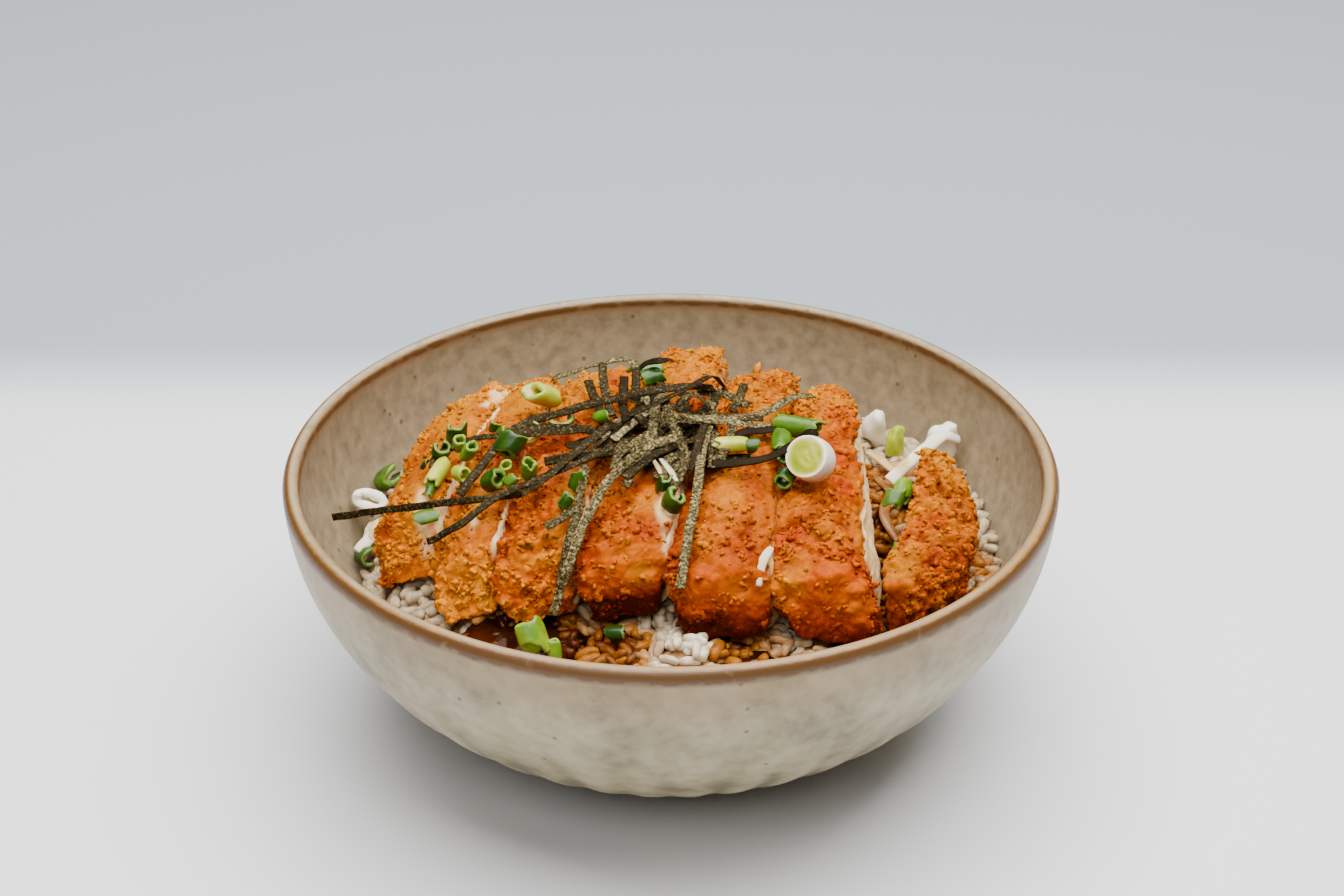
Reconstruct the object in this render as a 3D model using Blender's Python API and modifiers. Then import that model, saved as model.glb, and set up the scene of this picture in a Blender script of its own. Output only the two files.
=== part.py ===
"""Sliced chicken katsu on rice in a stoneware bowl, at real size, +Z up.

Lengths are in millimetres and become metres where a mesh is made. The origin is the middle of
the bowl's foot, on the surface that the bowl stands on. Front is -Y.
"""

import math

import bmesh
import bpy
import numpy as np
from mathutils import Vector

MM = 0.001
WALL_GAP = 1.3  # between the rice and the bowl, whose facets differ
SLICE_GAP = 1.2  # between the rice and a slice, whose facets differ
COLLECTION = "katsu_rice_bowl"

# Bowl: the outer wall and the inner wall are quarter ellipses that share the level of their widest ring.
RIM_HEIGHT = 64.0
WIDEST_LEVEL = 63.0
OUTER_RADIUS = 88.0
OUTER_DEPTH = 69.0
INNER_RADIUS = 84.4
INNER_DEPTH = 65.5
LIP_RADIUS = 1.8
UNDERSIDE_LEVEL = 10.0  # below this the outer wall eases into the foot
FLOOR_EDGE_LEVEL = 16.0  # below this the inner wall eases into the floor
FLOOR_LEVEL = 9.0
FLOOR_FLAT_RADIUS = 15.0
FOOT_RADIUS = 34.0
FOOT_HEIGHT = 4.4
FOOT_BASE_OUTER = 32.5
FOOT_BASE_INNER = 29.0
FOOT_RECESS_RADIUS = 27.5
FOOT_RECESS_LEVEL = 3.4
FLUTES = 42
FLUTE_DEPTH = 0.8
FLUTE_FADE = (14.0, 36.0)  # full depth below the first level, gone above the second
BOWL_STEPS = 2 * FLUTES
OUTER_LEVELS = (50.0, 39.0, 30.0, 20.0, UNDERSIDE_LEVEL)
INNER_LEVELS = (FLOOR_EDGE_LEVEL, 24.0, 34.0, 45.0, 55.0)
FOOT_EASE = 2.6  # the underside rises with this power of the way out from the foot
FLOOR_EASE = 4.7

# Rice: a mound whose peak lies behind the middle, lower at the left wall and the back.
RICE_BASE = 35.0
RICE_SLOPE_X = 3.5
RICE_SLOPE_Y = -4.0
RICE_PEAK = (-2.0, 18.0)
RICE_RISE = 15.0
RICE_REACH = (84.0, 78.0)
RICE_ROUNDNESS = 1.3  # over 1, the mound is flatter on top than a parabola
RICE_EASE = 12.0  # the higher, the sharper the mound meets the base
RICE_FRONT_LUMP = (2.0, -62.0, 30.0, 14.0, 4.0)  # x, y, width, depth, height
RICE_LEFT_DIP = (-77.0, 6.0, 13.0, 30.0, -7.0)
RICE_GAP_DIP = (50.0, -14.0, 8.0, 22.0, -2.5)
RICE_LEFT_LUMP = (-72.0, 24.0, 9.0, 12.0, 4.0)
RICE_BUMPS = (RICE_FRONT_LUMP, RICE_LEFT_DIP, RICE_GAP_DIP, RICE_LEFT_LUMP)
RICE_SIDES = 34
RICE_ROWS = 15
RICE_SURFACE_SHARE = 0.6  # of the rows; the rest follow the bowl's inside

# Cutlet slices, left to right: x of the left and right cut at the near end, y of the near end, the
# same three at the far end, thickness, lean of the left and right cut in degrees (tops go left), rise
# of the top from left to right, lift of the far end, and how far the left and right sides bulge.
CUT_LEVEL = 55.0  # the level at which the x values hold
SLICES = [
    (-67.5, -55.5, -20.0, -49.5, -38.5, 48.0, 17.0, 4.0, 16.0, 3.0, 0.0, -6.5, 0.0),
    (-54.5, -40.0, -37.5, -37.5, -26.0, 47.5, 17.5, 16.0, 14.0, 3.0, 0.0, 0.0, 0.0),
    (-39.0, -21.5, -41.0, -25.0, -4.0, 47.0, 17.5, 14.0, 12.0, 3.0, 0.0, 0.0, 0.0),
    (-20.5, -1.5, -43.5, -3.0, 15.0, 50.5, 18.0, 12.0, 12.0, 4.0, 3.0, 0.0, 0.0),
    (-0.5, 21.0, -50.0, 16.0, 32.0, 41.5, 18.0, 12.0, 12.0, 3.5, 0.0, 0.0, 0.0),
    (22.0, 43.0, -48.5, 33.0, 45.5, 34.5, 18.0, 12.0, 16.0, 3.0, 0.0, 0.0, 1.0),
    (43.5, 56.0, -44.0, 59.0, 63.0, 17.0, 16.0, 10.0, -6.0, -1.0, 0.0, 0.0, 10.0),
]
SLICE_END_POWER = 5.0
SLICE_SIDE_POWER = 5.0
SLICE_SWELL_POWER = 2.5
SLICE_CROWN = 0.10  # share of the thickness that the top loses towards its cut edges
LEAN_PASSES = 3  # a leaning slice's height and place depend on each other
SLICE_SIDES = 16
SLICE_ROWS = 12

# Shredded nori: a tangle on the middle slices, and single strips that reach out of it. Each strip is
# the points that its middle line runs through.
TANGLE_MIDDLE = (-3.0, 1.0)
TANGLE_REACH = (18.5, 21.0)
TANGLE_HEIGHT = 8.5
TANGLE_GAP = 1.2
COVER_REACH = 3.5  # grooves narrower than twice this are bridged
STRIP_WIDTH = 2.1
STRIP_THICKNESS = 0.6
STRIP_ROWS = 9
TANGLE_SIDES = 28
TANGLE_ROWS = 8
RING_STEPS = 12
STRIPS = {
    "left_level": [
        (-78.0, -1.5, 48.5),
        (-69.5, -8.0, 55.5),
        (-58.0, -15.0, 60.5),
        (-44.5, -20.5, 63.6),
        (-34.0, -18.5, 63.8),
    ],
    "left_low": [(-53.5, -29.0, 59.5), (-44.0, -28.0, 62.4), (-36.0, -20.0, 66.0), (-25.5, -12.0, 67.8)],
    "left_high": [(-53.0, 4.5, 62.8), (-40.0, 6.5, 67.0), (-32.0, 4.0, 68.4), (-25.0, 0.5, 69.0)],
    "front_hanging": [(-25.4, -46.4, 51.0), (-22.4, -44.0, 60.0), (-18.5, -33.0, 64.8), (-13.5, -22.5, 67.6)],
    "front_straight": [(2.0, -49.0, 60.0), (3.7, -38.0, 65.3), (5.6, -24.0, 67.6), (6.6, -20.5, 68.4)],
    "right_high": [(33.0, 15.0, 70.8), (27.0, 12.0, 71.0), (19.0, 5.0, 71.6)],
    "right_low": [(32.4, -9.5, 70.6), (25.0, -12.5, 71.0), (16.5, -14.0, 71.0)],
    "back_arched": [(-26.0, 34.0, 66.4), (-18.0, 35.0, 68.8), (-10.0, 36.0, 71.0), (-1.5, 35.0, 71.2)],
}

# Leek, onion and scallion pieces as large as berries. Rings: middle, direction of the axis, outer
# radius, hole radius and length. Chunks: middle, half sizes, heading and tip in degrees.
RINGS = {
    "scallion_tube_right": ((28.8, -0.5, 71.6), (9.0, -4.0, 0.4), 2.5, 1.5, 9.5),
    "scallion_tube_long": ((24.8, -6.6, 71.0), (0.1, 1.0, 0.1), 2.2, 1.3, 6.0),
    "scallion_ring_far": ((-30.2, 19.6, 68.6), (0.3, -1.0, 0.5), 3.2, 2.1, 3.0),
    "scallion_ring_dark": ((-36.4, -4.0, 69.4), (0.2, -1.0, 0.9), 3.4, 2.3, 3.2),
    "scallion_ring_left": ((-38.3, -14.5, 65.6), (0.5, -1.0, 0.6), 2.9, 1.9, 3.0),
    "scallion_tube_left": ((-53.0, -4.5, 61.8), (0.3, 1.0, 0.1), 2.1, 1.2, 8.5),
    "scallion_ring_front": ((-29.6, -48.2, 46.6), (0.2, -1.0, 0.35), 3.5, 2.2, 4.6),
    "leek_half_ring_left": ((-72.6, 18.0, 42.6), (0.7, -0.6, 0.6), 4.1, 2.2, 5.0),
    "scallion_tube_behind": ((54.3, 9.0, 49.6), (0.2, 1.0, 0.2), 2.2, 1.2, 6.0),
}
CHUNKS = {
    "scallion_piece_middle": ((13.0, -10.0, 72.6), (3.6, 1.8, 1.4), 10.0, 5.0),
    "scallion_piece_front": ((0.2, -29.0, 67.8), (2.0, 2.8, 1.1), -10.0, 5.0),
    "scallion_leaf_far": ((-5.9, 25.5, 72.4), (2.2, 3.0, 1.1), 15.0, 5.0),
    "scallion_piece_back_left": ((-68.5, 29.0, 42.0), (4.0, 3.4, 2.8), 20.0, 10.0),
    "scallion_piece_high_left": ((-49.6, 10.5, 63.6), (3.2, 2.4, 1.8), 30.0, 10.0),
    "scallion_piece_dark": ((-25.4, 7.0, 69.4), (3.2, 2.6, 1.3), -20.0, 5.0),
    "onion_piece_left": ((-69.6, 11.5, 37.4), (3.6, 4.4, 2.4), -15.0, 20.0),
    "onion_piece_back_right": ((50.8, 43.5, 49.0), (3.4, 3.0, 4.6), 10.0, 10.0),
    "leek_piece_back_right": ((55.0, 35.5, 49.2), (2.2, 3.2, 4.0), -10.0, -15.0),
    "onion_piece_right": ((67.2, 37.0, 46.6), (3.6, 2.6, 4.6), 25.0, 10.0),
}
CHUNK_POWER = 3.0
ONION_SLIVER = [(50.6, 16.5, 48.6), (58.0, 23.0, 51.5), (64.4, 29.0, 52.5)]
ONION_SLIVER_WIDTH = 3.6
ONION_SLIVER_THICKNESS = 1.7
LEEK_SLICE_MIDDLE = (30.6, -18.2, 73.0)
LEEK_SLICE_FACING = (-0.05, -0.80, 0.60)
LEEK_SLICE_RADIUS = 5.3
LEEK_SLICE_THICKNESS = 3.2


def power(value, exponent):
    """The value's size raised to the exponent, with its sign kept."""
    return np.sign(value) * np.abs(value) ** exponent


def bump(x, y, shape):
    """A smooth hill: height times exp of minus the squared distances over width and depth."""
    cx, cy, width, depth, height = shape
    return height * np.exp(-(((x - cx) / width) ** 2) - ((y - cy) / depth) ** 2)


def wall_radius(z, radius, depth):
    """Radius at level z of an elliptical wall that is widest at WIDEST_LEVEL."""
    below = np.clip((WIDEST_LEVEL - z) / depth, 0.0, 1.0)
    return radius * np.sqrt(1.0 - below**2)


def rice_height(x, y):
    """Level of the rice: a tilted base, one mound, local bumps and a low unevenness."""
    base = RICE_BASE + RICE_SLOPE_X * x / 80.0 + RICE_SLOPE_Y * y / 80.0
    away = ((x - RICE_PEAK[0]) / RICE_REACH[0]) ** 2 + ((y - RICE_PEAK[1]) / RICE_REACH[1]) ** 2
    mound = RICE_RISE * np.logaddexp(0.0, RICE_EASE * (1.0 - away**RICE_ROUNDNESS)) / RICE_EASE
    local = sum(bump(x, y, shape) for shape in RICE_BUMPS)
    uneven = 0.5 * np.sin(x / 7.1 + 1.0) * np.sin(y / 7.7)
    return base + mound + local + uneven


def slice_frame(row, y):
    """Left and right side of a slice at CUT_LEVEL, at the given y, with s from near (0) to far (1)."""
    near_left, near_right, near_y, far_left, far_right, far_y = row[:6]
    s = np.clip((y - near_y) / (far_y - near_y), 0.0, 1.0)
    swell = 1.0 - np.abs(2.0 * s - 1.0) ** SLICE_SWELL_POWER
    left = near_left + (far_left - near_left) * s + row[11] * swell
    right = near_right + (far_right - near_right) * s + row[12] * swell
    return left, right, s


def lean_shift(row, t, z):
    """How far a slice's point moves along x: its cut's lean times the height over CUT_LEVEL."""
    lean = np.tan(np.radians(row[7] + (row[8] - row[7]) * t))
    return -lean * (z - CUT_LEVEL)


def slice_level(row, x, y, s, t, h):
    """Height of a slice's point: h runs from its underside (0) on the rice to its top (1)."""
    thickness, rise, lift = row[6], row[9], row[10]
    crown = 1.0 - SLICE_CROWN * (2.0 * t - 1.0) ** 2
    underside = rice_height(x, y) + SLICE_GAP + lift * s**2
    return underside + h * (thickness * crown + rise * (t - 0.5))


def slice_points(row, along, across, up):
    """Points of one slice from its superquadric coordinates, each from -1 to 1."""
    y = row[2] + (row[5] - row[2]) * (along + 1.0) / 2.0
    t = (across + 1.0) / 2.0
    h = (up + 1.0) / 2.0
    left, right, s = slice_frame(row, y)
    x0 = left + (right - left) * t
    x = x0
    for _ in range(LEAN_PASSES):
        z = slice_level(row, x, y, s, t, h)
        x = x0 + lean_shift(row, t, z)
    return np.stack([x, y, z], axis=-1)


def slice_top(row, x, y):
    """Height of one slice's top over (x, y), or a level far below where the slice isn't."""
    z = rice_height(x, y) + row[6]
    left, right, s = slice_frame(row, y)
    along = 2.0 * (y - row[2]) / (row[5] - row[2]) - 1.0
    for _ in range(LEAN_PASSES):
        t = np.clip((x - left) / (right - left), 0.0, 1.0)
        x0 = x - lean_shift(row, t, z)
        across = 2.0 * (x0 - left) / (right - left) - 1.0
        room = np.clip(1.0 - np.abs(along) ** SLICE_END_POWER, 0.0, 1.0)
        room = room ** (SLICE_SIDE_POWER / SLICE_END_POWER) - np.abs(across) ** SLICE_SIDE_POWER
        inside = room > 0.0
        h = 0.5 + 0.5 * np.clip(room, 0.0, 1.0) ** (1.0 / SLICE_SIDE_POWER)
        z = np.where(inside, slice_level(row, x, y, s, np.clip((across + 1.0) / 2.0, 0.0, 1.0), h), z)
    return np.where(inside, z, -100.0)


def food_top(x, y):
    """Height of the food seen from above: the highest slice, or the rice."""
    x = np.asarray(x, float)
    y = np.asarray(y, float)
    top = rice_height(x, y)
    for row in SLICES:
        top = np.maximum(top, slice_top(row, x, y))
    return top


def material(name, color, roughness, metallic=0.0):
    made = bpy.data.materials.new(name)
    made.use_nodes = True
    shader = made.node_tree.nodes["Principled BSDF"]
    shader.inputs["Base Color"].default_value = (*color, 1.0)
    shader.inputs["Roughness"].default_value = roughness
    shader.inputs["Metallic"].default_value = metallic
    return made


def add_object(name, mesh, finish):
    """Puts a mesh into the part's collection under its node name, shaded smooth."""
    mesh.name = name
    mesh.materials.clear()
    mesh.materials.append(finish)
    mesh.shade_smooth()
    mesh.set_sharp_from_angle(angle=math.radians(40.0))
    made = bpy.data.objects.new(name, mesh)
    bpy.data.collections[COLLECTION].objects.link(made)
    return made


def mesh_points(mesh):
    flat = np.empty(3 * len(mesh.vertices))
    mesh.vertices.foreach_get("co", flat)
    return flat.reshape(-1, 3)


def set_points(mesh, points):
    mesh.vertices.foreach_set("co", np.ascontiguousarray(points, dtype=np.float32).ravel())
    mesh.update()


def turned(profile, steps):
    """A mesh turned about Z from a profile of (radius, level), which runs down the outer side."""
    blank = bpy.data.meshes.new("blank")
    corners = [(r * MM, 0.0, z * MM) for r, z in profile]
    blank.from_pydata(corners, [(i, i + 1) for i in range(len(corners) - 1)], [])
    lathe = bpy.data.objects.new("lathe", blank)
    bpy.context.scene.collection.objects.link(lathe)
    screw = lathe.modifiers.new("turn", "SCREW")
    screw.steps = steps
    screw.render_steps = steps
    screw.use_merge_vertices = True
    screw.merge_threshold = 0.00001
    depsgraph = bpy.context.evaluated_depsgraph_get()
    mesh = bpy.data.meshes.new_from_object(lathe.evaluated_get(depsgraph))
    bpy.data.objects.remove(lathe)
    bpy.data.meshes.remove(blank)
    return mesh


def ball_form(sides, rows, form):
    """A ball primitive re-shaped: form(row, angle) gives its points in millimetres.

    row runs from 0 at one pole to 1 at the other, and angle turns about the poles' axis.
    """
    bm = bmesh.new()
    bmesh.ops.create_uvsphere(bm, u_segments=sides, v_segments=rows, radius=1.0)
    mesh = bpy.data.meshes.new("blank")
    bm.to_mesh(mesh)
    ball = mesh_points(mesh)
    row = np.arccos(np.clip(ball[:, 2], -1.0, 1.0)) / math.pi
    angle = np.arctan2(ball[:, 1], ball[:, 0])
    set_points(mesh, form(row, angle) * MM)
    bm.clear()
    bm.from_mesh(mesh)
    bmesh.ops.recalc_face_normals(bm, faces=bm.faces)
    bm.to_mesh(mesh)
    bm.free()
    return mesh


def bowl_profile():
    """The bowl's half section from the outer lip down, round the foot, and up the inside."""
    lip = RIM_HEIGHT - LIP_RADIUS
    middle = OUTER_RADIUS - 0.2 - LIP_RADIUS
    profile = []
    for level in (lip, *OUTER_LEVELS):
        profile.append((float(wall_radius(level, OUTER_RADIUS, OUTER_DEPTH)), level))
    edge = profile[-1][0]
    for part in (0.66, 0.33):
        level = FOOT_HEIGHT + (UNDERSIDE_LEVEL - FOOT_HEIGHT) * part**FOOT_EASE
        profile.append((FOOT_RADIUS + (edge - FOOT_RADIUS) * part, level))
    profile += [(FOOT_RADIUS, FOOT_HEIGHT), (FOOT_BASE_OUTER, 0.0), (FOOT_BASE_INNER, 0.0)]
    profile += [(FOOT_RECESS_RADIUS, FOOT_RECESS_LEVEL), (0.0, FOOT_RECESS_LEVEL), (0.0, FLOOR_LEVEL)]
    floor_edge = float(wall_radius(FLOOR_EDGE_LEVEL, INNER_RADIUS, INNER_DEPTH))
    for part in (0.3, 0.75):
        level = FLOOR_LEVEL + (FLOOR_EDGE_LEVEL - FLOOR_LEVEL) * part**FLOOR_EASE
        profile.append((FLOOR_FLAT_RADIUS + (floor_edge - FLOOR_FLAT_RADIUS) * part, level))
    for level in INNER_LEVELS:
        profile.append((float(wall_radius(level, INNER_RADIUS, INNER_DEPTH)), level))
    for turn in np.radians((180.0, 135.0, 90.0, 45.0)):
        profile.append((middle + LIP_RADIUS * math.cos(turn), lip + LIP_RADIUS * math.sin(turn)))
    profile.append(profile[0])
    return profile


def make_bowl(finish):
    """Turned wall, lip and foot; the lower outside is then drawn in by shallow upright flutes."""
    mesh = turned(bowl_profile(), BOWL_STEPS)
    points = mesh_points(mesh) / MM
    radius = np.hypot(points[:, 0], points[:, 1])
    angle = np.arctan2(points[:, 1], points[:, 0])
    outside = radius > (wall_radius(points[:, 2], OUTER_RADIUS, OUTER_DEPTH) - 1.0)
    outside &= points[:, 2] > UNDERSIDE_LEVEL - 3.0
    low, high = FLUTE_FADE
    fade = np.clip((high - points[:, 2]) / (high - low), 0.0, 1.0)
    cut = FLUTE_DEPTH * fade * (0.5 - 0.5 * np.cos(FLUTES * angle)) * outside
    points[:, :2] *= (1.0 - cut / np.maximum(radius, 1.0))[:, None]
    set_points(mesh, points * MM)
    return add_object("bowl", mesh, finish)


def rice_points(row, angle):
    """The heap: its first rows are the surface from the middle out, the rest follow the bowl's inside."""
    edge = INNER_RADIUS - WALL_GAP
    for _ in range(4):
        level = rice_height(edge * np.cos(angle), edge * np.sin(angle))
        edge = wall_radius(level, INNER_RADIUS, INNER_DEPTH) - WALL_GAP
    reach = edge * np.clip(row / RICE_SURFACE_SHARE, 0.0, 1.0)
    x = reach * np.cos(angle)
    y = reach * np.sin(angle)
    surface = rice_height(x, y)
    down = np.clip((row - RICE_SURFACE_SHARE) / (1.0 - RICE_SURFACE_SHARE), 0.0, 1.0)
    level = level + (FLOOR_EDGE_LEVEL - level) * np.clip(down / 0.7, 0.0, 1.0)
    under = wall_radius(level, INNER_RADIUS, INNER_DEPTH) - WALL_GAP
    inward = np.clip((down - 0.7) / 0.3, 0.0, 1.0)
    under = under * (1.0 - inward)
    level = level + 0.3 * inward
    below = row > RICE_SURFACE_SHARE + 1e-6
    radius = np.where(below, under, reach)
    z = np.where(below, level, surface)
    return np.stack([radius * np.cos(angle), radius * np.sin(angle), z], axis=-1)


def slice_form(row):
    """A superquadric bar for one slice: blunt rounded ends, flat cut sides, rounded crust edges."""

    def form(station, angle):
        along = power(-np.cos(math.pi * station), 2.0 / SLICE_END_POWER)
        round_in = np.sin(math.pi * station) ** (2.0 / SLICE_END_POWER)
        across = round_in * power(np.cos(angle), 2.0 / SLICE_SIDE_POWER)
        up = round_in * power(np.sin(angle), 2.0 / SLICE_SIDE_POWER)
        return slice_points(row, along, across, up)

    return form


def cover(x, y, reach=COVER_REACH):
    """The food's top with its grooves bridged: the highest of it within the reach."""
    top = food_top(x, y)
    for turn in np.arange(8) * math.pi / 4.0:
        for share in (0.5, 1.0):
            dx = share * reach * math.cos(turn)
            dy = share * reach * math.sin(turn)
            top = np.maximum(top, food_top(x + dx, y + dy))
    return top


def tangle_points(row, angle):
    """A low dome with a lobed outline whose underside follows the food beneath it."""
    lobes = 1.0 + 0.13 * np.sin(3.0 * angle + 0.6) + 0.10 * np.sin(5.0 * angle + 2.0)
    out = np.sin(math.pi * row)
    x = TANGLE_MIDDLE[0] + TANGLE_REACH[0] * lobes * out * np.cos(angle)
    y = TANGLE_MIDDLE[1] + TANGLE_REACH[1] * lobes * out * np.sin(angle)
    lift = np.cos(math.pi * row)
    uneven = 1.0 + 0.18 * np.sin(x / 3.1) * np.sin(y / 3.7 + 1.0)
    rise = np.where(lift > 0.0, TANGLE_HEIGHT * uneven * lift, 0.4 * lift)
    return np.stack([x, y, cover(x, y) + TANGLE_GAP + 0.4 + rise], axis=-1)


def smooth_path(points, share):
    """Points at the given shares of a Catmull-Rom curve through the path's own points."""
    path = np.array(points, float)
    path = np.vstack([2.0 * path[0] - path[1], path, 2.0 * path[-1] - path[-2]])
    place = np.clip(share, 0.0, 1.0) * (len(points) - 1)
    first = np.minimum(place.astype(int), len(points) - 2)
    u = (place - first)[:, None]
    a, b, c, d = (path[first + k] for k in range(4))
    return 0.5 * (2 * b + (c - a) * u + (2 * a - 5 * b + 4 * c - d) * u**2 + (3 * b - a - 3 * c + d) * u**3)


def strip_form(points, width, thickness, rows):
    """A flat strip along a smooth path: four corners at each station, square to the path."""

    def form(row, angle):
        share = np.clip((row * rows - 1.0) / (rows - 2.0), 0.0, 1.0)
        middle = smooth_path(points, share)
        ahead = smooth_path(points, share + 0.01) - smooth_path(points, share - 0.01)
        ahead /= np.linalg.norm(ahead, axis=1)[:, None]
        side = np.cross(ahead, [0.0, 0.0, 1.0])
        side /= np.linalg.norm(side, axis=1)[:, None]
        up = np.cross(side, ahead)
        across = np.sign(np.cos(angle + math.pi / 4.0)) * width / 2.0
        above = np.sign(np.sin(angle + math.pi / 4.0)) * thickness / 2.0
        off_axis = np.sin(math.pi * row) > 0.01
        return middle + off_axis[:, None] * (side * across[:, None] + up * above[:, None])

    return form


def chunk_form(middle, half, heading, tip):
    """A rounded block: a superquadric, tipped about X and then turned about Z."""
    turn = math.radians(heading)
    lean = math.radians(tip)

    def form(row, angle):
        share = 2.0 / CHUNK_POWER
        out = np.sin(math.pi * row) ** share
        x = half[0] * out * power(np.cos(angle), share)
        y = half[1] * out * power(np.sin(angle), share)
        z = half[2] * power(np.cos(math.pi * row), share)
        y, z = y * math.cos(lean) - z * math.sin(lean), y * math.sin(lean) + z * math.cos(lean)
        x, y = x * math.cos(turn) - y * math.sin(turn), x * math.sin(turn) + y * math.cos(turn)
        return np.stack([x + middle[0], y + middle[1], z + middle[2]], axis=-1)

    return form


def place_facing(made, middle, facing):
    """Moves an object's middle to a place and turns its Z axis to face a direction."""
    made.location = Vector(middle) * MM
    made.rotation_euler = Vector(facing).to_track_quat("Z", "Y").to_euler()


def make_ring(name, middle, facing, outer, hole, length, finish):
    """A short hollow stalk: a square-ended wall turned about its own axis."""
    half = length / 2.0
    profile = [(outer, half), (outer, -half), (hole, -half), (hole, half), (outer, half)]
    place_facing(add_object(name, turned(profile, RING_STEPS), finish), middle, facing)


def make_leek_slice(finish):
    """The thick round slice of white leek, leaning back on the tubes behind it."""
    bm = bmesh.new()
    radius = LEEK_SLICE_RADIUS * MM
    depth = LEEK_SLICE_THICKNESS * MM
    bmesh.ops.create_cone(bm, cap_ends=True, segments=20, radius1=radius, radius2=radius, depth=depth)
    mesh = bpy.data.meshes.new("blank")
    bm.to_mesh(mesh)
    bm.free()
    made = add_object("leek_slice_round", mesh, finish)
    edge = made.modifiers.new("rounded_edge", "BEVEL")
    edge.width = 0.5 * MM
    edge.segments = 1
    place_facing(made, LEEK_SLICE_MIDDLE, LEEK_SLICE_FACING)


def main():
    for old in list(bpy.data.objects):
        bpy.data.objects.remove(old)
    group = bpy.data.collections.new(COLLECTION)
    bpy.context.scene.collection.children.link(group)

    stoneware = material("glazed_stoneware", (0.40, 0.34, 0.26), 0.45)
    rice = material("steamed_rice", (0.80, 0.76, 0.70), 0.35)
    crust = material("fried_panko_crust", (0.75, 0.30, 0.05), 0.6)
    nori = material("dried_nori", (0.06, 0.06, 0.03), 0.5)
    scallion = material("scallion_green", (0.15, 0.35, 0.05), 0.35)
    onion = material("white_onion", (0.85, 0.85, 0.75), 0.3)

    make_bowl(stoneware)
    add_object("rice_heap", ball_form(RICE_SIDES, RICE_ROWS, rice_points), rice)
    for number, row in enumerate(SLICES, start=1):
        mesh = ball_form(SLICE_SIDES, SLICE_ROWS, slice_form(row))
        add_object(f"katsu_slice_{number}", mesh, crust)
    add_object("nori_tangle", ball_form(TANGLE_SIDES, TANGLE_ROWS, tangle_points), nori)
    for name, points in STRIPS.items():
        form = strip_form(points, STRIP_WIDTH, STRIP_THICKNESS, STRIP_ROWS)
        add_object("nori_strip_" + name, ball_form(4, STRIP_ROWS, form), nori)
    for name, (middle, facing, outer, hole, length) in RINGS.items():
        finish = scallion if name.startswith("scallion") else onion
        make_ring(name, middle, facing, outer, hole, length, finish)
    for name, (middle, half, heading, tip) in CHUNKS.items():
        finish = scallion if name.startswith("scallion") else onion
        add_object(name, ball_form(8, 6, chunk_form(middle, half, heading, tip)), finish)
    form = strip_form(ONION_SLIVER, ONION_SLIVER_WIDTH, ONION_SLIVER_THICKNESS, 6)
    add_object("onion_sliver", ball_form(4, 6, form), onion)
    make_leek_slice(onion)


main()
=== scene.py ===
"""Looks of the chicken katsu rice bowl: glaze, rice, crust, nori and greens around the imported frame.

Lengths are in millimetres and become metres where a mesh is made. Z is up and front is -Y. Each
surface is worked out as arrays of points from its own formula; noise makes food as uneven as it is.
"""

import math

import bpy
import numpy as np
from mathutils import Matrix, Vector


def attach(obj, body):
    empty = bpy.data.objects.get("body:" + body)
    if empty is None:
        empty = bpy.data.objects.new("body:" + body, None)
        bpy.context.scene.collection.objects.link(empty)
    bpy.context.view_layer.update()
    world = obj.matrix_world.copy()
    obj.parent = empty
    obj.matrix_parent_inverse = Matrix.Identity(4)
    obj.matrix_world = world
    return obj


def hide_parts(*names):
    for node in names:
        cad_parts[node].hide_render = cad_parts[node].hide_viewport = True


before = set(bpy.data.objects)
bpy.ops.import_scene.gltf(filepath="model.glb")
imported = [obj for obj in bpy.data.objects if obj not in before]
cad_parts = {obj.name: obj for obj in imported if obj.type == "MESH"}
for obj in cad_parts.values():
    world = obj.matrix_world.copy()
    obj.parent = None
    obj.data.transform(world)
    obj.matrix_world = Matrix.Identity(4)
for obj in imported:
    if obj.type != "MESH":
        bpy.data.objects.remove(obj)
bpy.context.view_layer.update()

MM = 0.001
FULL_TURN = 2.0 * math.pi

# Bowl, with the same walls as its solid.
RIM_HEIGHT = 64.0
WIDEST_LEVEL = 63.0
OUTER_RADIUS = 88.0
OUTER_DEPTH = 69.0
INNER_RADIUS = 84.4
INNER_DEPTH = 65.5
LIP_RADIUS = 1.8
UNDERSIDE_LEVEL = 10.0
FLOOR_EDGE_LEVEL = 16.0
FLOOR_LEVEL = 9.0
FLOOR_FLAT_RADIUS = 15.0
FOOT_RADIUS = 34.0
FOOT_HEIGHT = 4.4
FOOT_BASE_OUTER = 32.5
FOOT_BASE_INNER = 29.0
FOOT_RECESS_RADIUS = 27.5
FOOT_RECESS_LEVEL = 3.4
FOOT_EASE = 2.6
FLOOR_EASE = 4.7
FLUTES = 42
FLUTE_DEPTH = 0.92
FLUTE_FADE = (14.0, 36.0)  # levels between which a flute runs out
BOWL_COLUMNS = 8 * FLUTES

# Rice: a mound whose peak lies behind the middle. Bumps: middle x and y, reach in x and y, and height.
RICE_BASE = 35.0
RICE_SLOPE_X = 3.5
RICE_SLOPE_Y = -4.0
RICE_PEAK = (-2.0, 18.0)
RICE_RISE = 15.0
RICE_REACH = (84.0, 78.0)
RICE_ROUNDNESS = 1.3
RICE_EASE = 12.0
RICE_BUMPS = (
    (2.0, -62.0, 30.0, 14.0, 4.0),
    (-77.0, 6.0, 13.0, 30.0, -7.0),
    (50.0, -14.0, 8.0, 22.0, -2.5),
    (-72.0, 24.0, 9.0, 12.0, 4.0),
)
LOOSE_BUMPS = ((82.0, -4.0, 10.0, 30.0, -5.5), (3.5, -53.0, 7.0, 5.0, 5.5))  # of the loose grains only
RICE_CORE_DROP = 2.0  # the core lies this far under the grains' tops
GRAIN_LENGTH = 5.4
GRAIN_WIDTH = 2.7
GRAIN_PITCH = 3.15  # between neighbours in one layer
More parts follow.
